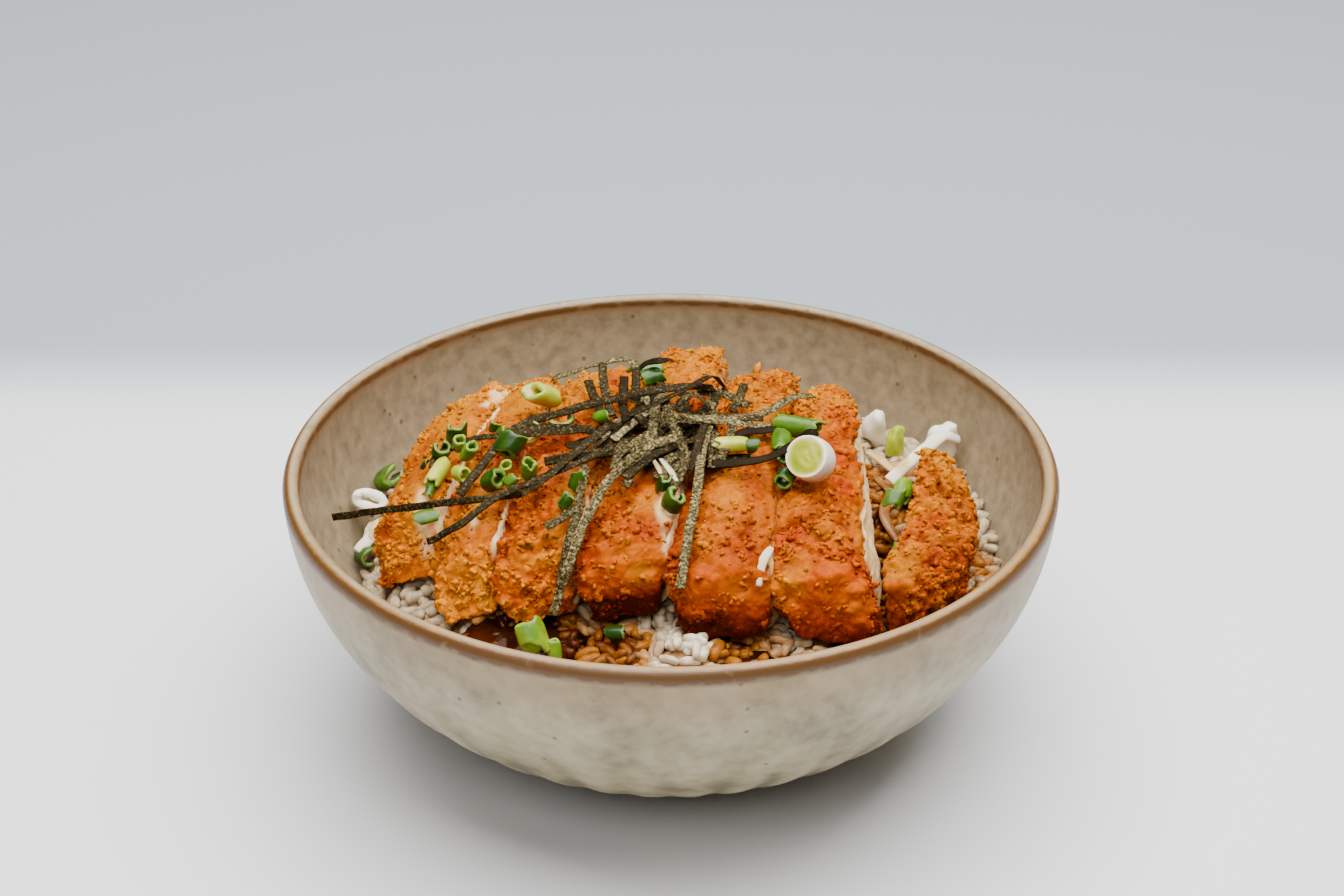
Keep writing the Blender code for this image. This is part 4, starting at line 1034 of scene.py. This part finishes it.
def make_nori(finish):
    """The single strips, and one pile of the rest: named shreds, then more of them, dropped at random
    within an ellipse, mostly one way round and each arched over those under it."""
    rng = np.random.default_rng(5)
    for number, (name, (points, tilt_from, tilt_to)) in enumerate(SINGLE_STRIPS.items()):
        # The left strips are a little darker; the others get brighter painted highlights in their flecks.
        width, tone = (LEFT_STRIP_WIDTH, -0.04) if name.startswith("left") else (STRIP_WIDTH, 0.08)
        made, faces = shred(points, tilt_from, tilt_to, 100 + 10 * number, width)
        make_piece(f"nori_shred_{name}", made, faces, finish, "nori", (f"nori_strip_{name}",),
                   tone=np.full(len(made), tone))
    shreds = list(PILE_STRIPS)
    for number in range(PILE_EXTRA):
        away = math.sqrt(rng.random())
        turn = rng.uniform(0.0, FULL_TURN)
        x = PILE_MIDDLE[0] + PILE_REACH[0] * away * math.cos(turn)
        y = PILE_MIDDLE[1] + PILE_REACH[1] * away * math.sin(turn)
        heading = PILE_HEADING + rng.normal(0.0, PILE_SPREAD)
        heading = math.radians(heading + (PILE_CROSSING[1] if rng.random() < PILE_CROSSING[0] else 0.0))
        share = np.linspace(-1.0, 1.0, 5)
        half, bend = rng.uniform(6.0, 14.0), rng.normal(0.0, 1.8)
        px = x + half * share * math.cos(heading) - bend * share**2 * math.sin(heading)
        py = y + half * share * math.sin(heading) + bend * share**2 * math.cos(heading)
        lift = PILE_LIFT * (1.0 - 0.7 * away**2) * (number + 3.0) / (PILE_EXTRA + 3.0)
        pz = cover(px, py).mean() + 0.9 + lift * (1.0 - 0.55 * share**2)
        pz = np.maximum(pz, cover(px, py) + 0.5)
        shreds.append((np.stack([px, py, pz], axis=-1), rng.normal(*PILE_TILT), rng.normal(*PILE_TILT)))
    pile = []
    for number, (points, tilt_from, tilt_to) in enumerate(shreds):
        made, faces = shred(points, tilt_from, tilt_to, 300 + 10 * number)
        pile.append((made, faces, np.full(len(made), rng.normal(-0.01, 0.08))))
    points, faces, tone = joined(pile)
    make_piece("nori_pile", points, faces, finish, "nori", ("nori_tangle",), tone=tone)


# Pieces of stalk: middle, axis, outer radius, hole radius, length, arc in degrees, turn of the arc in
# degrees, and tone from deep green (0) to white (1). The first ones stand for CAD nodes.
STALKS = {
    "scallion_tube_right": ((28.8, -0.5, 71.8), (9, -4, 0.4), 2.5, 1.7, 9.5, 360, 0, 0.22),
    "scallion_tube_long": ((24.8, -6.6, 71.2), (0.1, 1, 0.1), 2.2, 1.5, 6.5, 360, 0, 0.20),
    "scallion_ring_far": ((-30.2, 19.6, 69.4), (-0.6, -0.5, 0.5), 3.5, 1.8, 6.5, 360, 0, 0.56),
    "scallion_ring_dark": ((-36.4, -4, 69.2), (0.5, 0.5, 0.7), 3.3, 1.5, 5, 360, 0, 0),
    "scallion_ring_left": ((-39.5, -14.5, 65.8), (0.7, -0.6, 0.6), 2.9, 1.5, 4.2, 360, 0, 0.08),
    "scallion_tube_left": ((-53, -4.5, 61.8), (0.3, 1, 0.1), 1.9, 0.9, 8.5, 360, 0, 0.50),
    "scallion_ring_front": ((-29.6, -48.2, 46.6), (-0.3, 0.6, 0.75), 3.2, 1.9, 6, 360, 0, 0.36),
    "leek_half_ring_left": ((-71.8, 16.5, 42.6), (0.15, -0.85, 0.55), 4.7, 2.1, 4.6, 360, -28, 0.93),
    "scallion_tube_behind": ((54.3, 9, 49.6), (0.2, 1, 0.2), 2.2, 1.4, 6, 360, 0, 0.3),
    "scallion_piece_middle": ((13.6, -10.2, 72.6), (1, 0.1, 0), 2, 1.2, 7, 360, 0, 0.52),
    "scallion_piece_front": ((0.6, -28.4, 68.6), (0.4, -0.2, 0.9), 2.6, 1.4, 4.4, 300, 40, 0.04),
    "scallion_leaf_far": ((-5.9, 24.5, 72.2), (0.9, 0.5, 0.1), 3.6, 2.7, 7, 150, 10, 0.24),
    "scallion_piece_back_left": ((-68.5, 29, 42), (0.7, -0.4, 0.6), 3.5, 1.8, 5, 290, 60, 0.10),
    "scallion_piece_high_left": ((-49.6, 9.5, 64.6), (0.1, -0.2, 1), 2.6, 1.5, 5.6, 200, 150, 0.02),
    "scallion_piece_dark": ((-25.4, 5, 70.4), (0.2, -0.5, 0.8), 3.4, 2.1, 3, 200, 190, 0),
}
LOOSE_STALKS = (
    ((-47, -10.5, 65.2), (0.5, -0.8, 0.3), 1.9, 1.1, 4, 360, 0, 0.52),
    ((-52.6, 2, 64.2), (0.3, -0.4, 0.8), 2.4, 1.3, 3.4, 300, 120, 0),
    ((-56.2, 0.5, 61.4), (0.5, -0.3, 0.7), 1.2, 0.6, 2.4, 220, 0, 0),
    ((-48.4, 2.2, 66), (0.1, -0.4, 0.9), 1.6, 0.8, 3.4, 360, 0, 0.36),
    ((-45.8, -2.5, 66.6), (0.4, -0.3, 0.8), 2, 1, 3.4, 360, 0, 0.24),
    ((-54.4, -9.6, 60.4), (0.1, 0.9, 0.2), 1.1, 0.5, 4.6, 200, 30, 0.06),
    ((-54.2, -20, 59.2), (0.9, 0.3, 0.1), 2.2, 1.5, 4.4, 120, 60, 0.14),
    ((-35.6, -15.4, 66.2), (0.7, 0.2, 0.5), 1.6, 0.8, 3, 300, 30, 0.20),
    ((-31.6, -13, 67.8), (0.1, -0.3, 1), 1.9, 1, 4.2, 360, 0, 0.26),
    ((-37.2, -11, 67), (0.3, -0.4, 0.8), 1.6, 0.9, 2.8, 360, 0, 0.52),
    ((-32.4, 2, 68.6), (0.1, -0.6, 0.8), 3, 2.3, 2.2, 320, 200, 0.76),
    ((-38, 3, 68.6), (0.6, -0.4, 0.6), 1.6, 0.8, 2.6, 300, 80, 0.12),
    ((-40.4, 6.5, 68.2), (0.3, -0.3, 0.9), 1.5, 0.8, 2.6, 220, 80, 0.10),
    ((-15.5, 1, 73.6), (0.9, -0.3, 0.4), 1.6, 0.9, 3, 200, 30, 0.14),
    ((-20.8, -20, 68.6), (0.3, 0.3, 0.9), 1.7, 0.8, 4, 300, 30, 0.02),
    ((-23, -25.6, 66.8), (0.5, 0.3, 0.7), 1.6, 0.8, 3.4, 300, 90, 0.04),
    ((18.2, -10.4, 72.4), (1, 0.1, 0), 1.9, 1, 2.6, 360, 0, 0.04),
    ((-25, -49.5, 44), (-0.1, 0.4, 0.9), 1.5, 0.8, 4, 360, 0, 0.34),
    ((-11.6, -45.5, 45.6), (0.9, -0.3, 0.2), 1.6, 0.9, 5, 180, 40, -0.1),
    ((51, -4, 55), (0.3, 0.7, 0.6), 2.4, 1.5, 4.4, 240, 20, 0.16),
    ((50.4, -20, 50.6), (0.3, 0.7, 0.6), 1.5, 0.8, 3.4, 200, 60, 0.16),
    ((25.2, -18, 68.4), (0.4, 0.9, 0.2), 2.2, 1.3, 3.4, 360, 0, 0.06),
    ((25.6, -11, 70.8), (0.1, 0.9, 0.1), 2.1, 1.2, 4.4, 360, 0, 0.02),
    ((-71.5, 4, 34.6), (0.5, -0.7, 0.3), 2.6, 1.4, 4.4, 260, 20, 0),
    ((-1.5, -23.5, 70.4), (0.3, -0.1, 0.9), 1.9, 1, 3.6, 240, 80, 0),
    ((-4.6, 17.5, 74.6), (0.9, 0.4, 0.1), 2.8, 2, 5, 150, 30, 0.04),
)
STALK_COLUMNS = 26  # of a whole ring
STALK_ROWS = 16  # round its wall's section


def stalk(middle, axis, outer, hole, length, arc, turn_from, seed):
    """A piece of hollow stalk: its wall's section, a rounded oblong between the hole and the outer
    radius, is carried round the axis through the arc while both radii waver. Returns the cut ends too."""
    turn = full_circle(STALK_ROWS)
    wall = (outer - hole) / 2.0
    radial, axial = power(np.cos(turn), 0.5), power(np.sin(turn), 0.5)
    whole = arc >= 360
    columns = STALK_COLUMNS if whole else max(8, STALK_COLUMNS * arc // 360)
    angle = np.radians(turn_from + np.linspace(0.0, arc, columns, endpoint=not whole))[:, None]
    ring = np.concatenate([3.0 * np.cos(angle), 3.0 * np.sin(angle), 0.0 * angle + seed], axis=1)
    waver = noise(ring, 2.0, seed)[:, None]
    radius = (outer + hole) / 2.0 * (1.0 + 0.14 * waver) + wall * radial * (1.0 + 0.25 * waver[::-1])
    along = (length / 2.0 - 0.22 * length * waver) * axial + 0.22 * radius * np.cos(angle + seed)
    squeeze = (outer + hole) / 2.0 * (0.50 if outer > 4.0 else 0.06 + 0.34 * ((7 * seed) % 5) / 5.0)
    local = np.stack([radius * np.cos(angle), (radius - squeeze) * np.sin(angle), along], axis=-1)
    if whole:
        local = local @ turn_matrix(turn_from, 0.0).T
    rings = local @ aim_matrix(axis).T + np.array(middle)
    ends = np.broadcast_to(soft_step(np.abs(axial), 0.9, 0.98) * 0.65, rings.shape[:2])
    if whole:
        points, cut = rings.reshape(-1, 3), ends.reshape(-1)
        faces = loop_faces(columns, STALK_ROWS)
    else:
        points, cut = with_poles(rings), with_poles(ends[..., None])[:, 0]
        faces = ball_faces(columns, STALK_ROWS)
    return points, outward(points, faces), cut


def make_stalks(finish):
    """The scallion and leek pieces: one object for each CAD node, and one for all the loose bits."""
    for number, (name, (*row, shade)) in enumerate(STALKS.items()):
        points, faces, cut = stalk(*row, number)
        paler = 0.25 * soft_step(points[:, 0] - row[0][0], 0.5, -3.0) * (shade > 0.4)
        tone = shade + 0.10 * noise(points, 5.0, number) + paler
        slot = "scallion" if name.startswith("scallion") else "onion"
        make_piece("cut_" + name, points, faces, finish, slot, (name,), tone=tone, cut=cut * (shade < 0.9))
    scraps = []
    for number, (*row, shade) in enumerate(LOOSE_STALKS):
        points, faces, cut = stalk(*row, 40 + number)
        scraps.append((points, faces, shade + 0.08 * noise(points, 4.0, number), cut))
    points, faces, tone, cut = joined(scraps)
    make_piece("chopped_scallion", points, faces, finish, "scallion", tone=tone, cut=cut)


# The round slice of leek: middle, axis, radius and thickness.
LEEK_SLICE = ((30.8, -17.6, 73.0), (-0.46, -0.66, 0.60), 5.3, 5.4)
LEEK_RINGS = 26  # on each of its faces


def make_leek_slice(finish):
    """A thick round slice of leek: a disc with a rounded edge and faint raised rings, white with a
    yellow-green heart that lies off its middle."""
    middle, facing, radius, thickness = LEEK_SLICE
    columns, half = 72, thickness / 2.0
    face = np.linspace(0.06, 0.90, LEEK_RINGS)
    edge = np.radians(np.linspace(0.0, 180.0, 13))
    radial = np.concatenate([face, 0.90 + 0.10 * np.sin(edge), face[::-1]])
    level = np.concatenate([np.ones(LEEK_RINGS), np.cos(edge), -np.ones(LEEK_RINGS)])
    angle = full_circle(columns)
    x = radius * radial[:, None] * np.cos(angle)
    y = radius * radial[:, None] * np.sin(angle) * 0.95
    waver = 1.2 * np.sin(2.0 * angle) + 0.7 * np.sin(3.0 * angle)
    rings_at = 0.5 + 0.5 * np.cos(radial[:, None] * 14.0 + waver)
    z = half * level[:, None] + 0.10 * rings_at * level[:, None]
    local = with_poles(np.stack([x, y, z], axis=-1))
    heart = np.hypot(local[:, 0], local[:, 1]) / radius
    green = (1.0 - soft_step(heart + 0.08 * noise(local, 3.0, 7), 0.60, 0.84)) * (local[:, 2] > 0.3 * half)
    tone = 0.97 - 0.43 * green - 0.12 * green * noise(local * np.array([1.0, 0.4, 1.0]), 1.6, 6)
    points = local @ aim_matrix(facing).T + np.array(middle)
    faces = outward(points, ball_faces(len(radial), columns))
    make_piece("sliced_leek_round", points, faces, finish, "onion", ("leek_slice_round",),
               tone=tone, cut=0.0 * tone)


# Onion: chunks by middle, half sizes, heading and tip in degrees, and tone (none is a green one);
# strands by middle line, width, thickness, twist and tone, from clear white (0) to amber (1).
ONION_CHUNKS = {
    "onion_piece_left": ((-69.6, 10.5, 37), (2.8, 4, 3), -15, 20, 0.4),
    "onion_piece_back_right": ((50.4, 42.5, 48.2), (2.6, 2.6, 4.4), 10, 10, 0.12),
    "leek_piece_back_right": ((55, 35, 48.4), (2, 2.8, 3.8), -18, -15, None),
    "onion_piece_right": ((66.6, 37, 47.6), (3.8, 2.6, 4.6), 25, 10, 0.06),
}
ONION_STRANDS = (
    (((48.5, 18, 48), (51.5, 9, 48.4), (49.5, 0, 47.6), (52, -9, 46.6)), 2.6, 1, 20, 0.95),
    (((51, 16, 48.4), (53.5, 9, 48.8), (50.5, 3, 48.2)), 1.6, 0.9, -30, 0.85),
    (((47, 30, 48.6), (50, 24, 49.4), (54, 18, 49.2)), 2.4, 0.9, 10, 0.6),
    (((21.4, -38.5, 62.6), (20.6, -40.5, 62.4), (19.4, -43.5, 61.2), (18.4, -47, 58.2)), 2, 1, 40, 0.35),
    (((-4.2, -15, 71.6), (-2.6, -19, 70.6), (-1, -24, 68.8)), 1, 0.4, 20, 0.5),
    (((-2.4, -15.5, 71.8), (-0.4, -18.5, 71), (1.4, -22, 69.6)), 1.5, 0.4, -10, 0.35),
    (((62, 31, 50), (66, 34, 50.4), (70.5, 36, 48.6)), 3, 1.4, 30, 0.1),
    (((-74, 4, 36), (-71, 9, 37.4), (-67, 13, 39)), 3.4, 1, 40, 0.3),
)
ONION_SLIVER = (((51.4, 12, 50.4), (54.6, 14.5, 52.4), (58, 17.5, 54), (61.5, 20, 55.6), (64.6, 22.5, 57)),
                3, 1.2, 40, 0.16)


def chunk_surface(middle, half, heading, tip, seed):
    """A rounded block with sagging sides: a superquadric bent and dented by noise, tipped and turned."""
    rings, columns = 20, 28
    row, angle = ball_angles(rings, columns, 0.7)
    out = np.sin(row) ** 0.7
    ball = np.stack([out * power(np.cos(angle), 0.7), out * power(np.sin(angle), 0.7),
                     power(np.cos(row), 0.7) + 0.0 * angle], axis=-1)
    points = with_poles(ball)
    points[:, 0] += 0.35 * points[:, 2] ** 2 - 0.15
    dents = 1.0 + 0.24 * noise(points, 0.8, seed) + 0.10 * noise(points, 0.35, seed)
    points = points * dents[:, None] * np.array(half)
    points = points @ turn_matrix(heading, tip).T + np.array(middle)
    return points, outward(points, ball_faces(rings, columns))


def make_onion(finish, green_finish):
    """The onion chunks and the sliver that stand for CAD nodes, and the loose strands."""
    for number, (name, (middle, half, heading, tip, tone)) in enumerate(ONION_CHUNKS.items()):
        points, faces = chunk_surface(middle, half, heading, tip, number)
        if tone is None:
            shade = 0.50 + 0.3 * soft_step(points[:, 2], middle[2] - 1.0, middle[2] - 4.0)
            make_piece("cut_" + name, points, faces, green_finish, "onion", (name,),
                       tone=shade, cut=0.0 * shade)
        else:
            shade = tone + 0.06 * noise(points, 3.0, number)
            make_piece("cut_" + name, points, faces, finish, "onion", (name,), tone=shade)
    path, width, thickness, twist, tone = ONION_SLIVER
    line = smooth_path(path, 48)
    points, faces = sweep(line, flat_section(width, thickness, 12), twist, 1.0 + 0.12 * noise(line, 5.0, 2))
    oiled = soft_step(noise(points, 6.0, 9), 0.15, 0.6) * (points[:, 2] > 51.2) * 0.45
    make_piece("cut_onion_sliver", points, faces, finish, "onion", ("onion_sliver",), tone=tone + oiled)
    strands = []
    for number, (path, width, thickness, twist, tone) in enumerate(ONION_STRANDS):
        line = smooth_path(path, 30)
        line = line + 0.5 * np.stack([noise(line, 6.0, 70 + 3 * number + k) for k in range(3)], axis=-1)
        scale = (1.0 + 0.2 * noise(line, 4.0, number)) * np.sin(np.linspace(0.25, math.pi - 0.25, 30)) ** 0.3
        points, faces = sweep(line, flat_section(width, thickness, 10), twist, scale)
        strands.append((points, faces, tone + 0.12 * noise(points, 4.0, number)))
    points, faces, tone = joined(strands)
    make_piece("onion_strands", points, faces, finish, "onion", tone=tone)


CAMERA_LENS = 65.0
CAMERA_FILM_WIDTH = 36.0
CAMERA_PITCH = 28.93  # degrees down
CAMERA_DISTANCE = 553.1
CAMERA_AIM = (0.25, 0.0, 66.0)
FLOOR_SIZE = 4.0  # metres
LIGHTS_AIM = (0.0, 0.0, 0.04)
LIGHTS = (  # name, place and size in metres, watts
    ("overhead_softbox", (0.06, 0.10, 1.0), (1.25, 1.2), 42.0),
    ("front_reflector", (-0.25, -0.85, 0.9), (0.8, 0.5), 5.0),
)


def make_studio():
    """Camera, pale floor, a broad soft light above and behind the bowl, and a weak one in front."""
    lens = bpy.data.cameras.new("camera")
    lens.lens = CAMERA_LENS
    lens.sensor_width = CAMERA_FILM_WIDTH
    camera = bpy.data.objects.new("camera", lens)
    pitch = math.radians(CAMERA_PITCH)
    back = Vector((0.0, -math.cos(pitch), math.sin(pitch))) * CAMERA_DISTANCE
    camera.location = (Vector(CAMERA_AIM) + back) * MM
    camera.rotation_euler = (math.pi / 2.0 - pitch, 0.0, 0.0)
    bpy.context.scene.collection.objects.link(camera)
    bpy.context.scene.camera = camera

    half = FLOOR_SIZE / 2.0
    corners = [(-half, -half, 0.0), (half, -half, 0.0), (half, half, 0.0), (-half, half, 0.0)]
    mesh = bpy.data.meshes.new("studio_floor")
    mesh.from_pydata(corners, [], [(0, 1, 2, 3)])
    mesh.materials.append(matt_table())
    floor = bpy.data.objects.new("studio_floor", mesh)
    bpy.context.scene.collection.objects.link(floor)

    for name, place, size, watts in LIGHTS:
        lamp = bpy.data.lights.new(name, "AREA")
        lamp.shape = "RECTANGLE"
        lamp.size, lamp.size_y = size
        lamp.energy = watts
        made = bpy.data.objects.new(name, lamp)
        made.location = place
        made.rotation_euler = (Vector(LIGHTS_AIM) - Vector(place)).to_track_quat("-Z", "Y").to_euler()
        bpy.context.scene.collection.objects.link(made)

    world = bpy.data.worlds.new("studio")
    world.use_nodes = True
    sky = world.node_tree.nodes["Background"]
    sky.inputs["Color"].default_value = linear("#DDE2E8")
    sky.inputs["Strength"].default_value = 0.07
    bpy.context.scene.world = world


make_studio()
make_bowl(glazed_stoneware())
rice = steamed_rice()
make_rice_core(rice)
make_rice_grains(rice)
make_sauce(soy_sauce())
make_slices(fried_chicken())
make_nori(dried_nori())
scallion = fresh_scallion()
make_stalks(scallion)
make_leek_slice(scallion)
make_onion(soft_onion(), scallion)
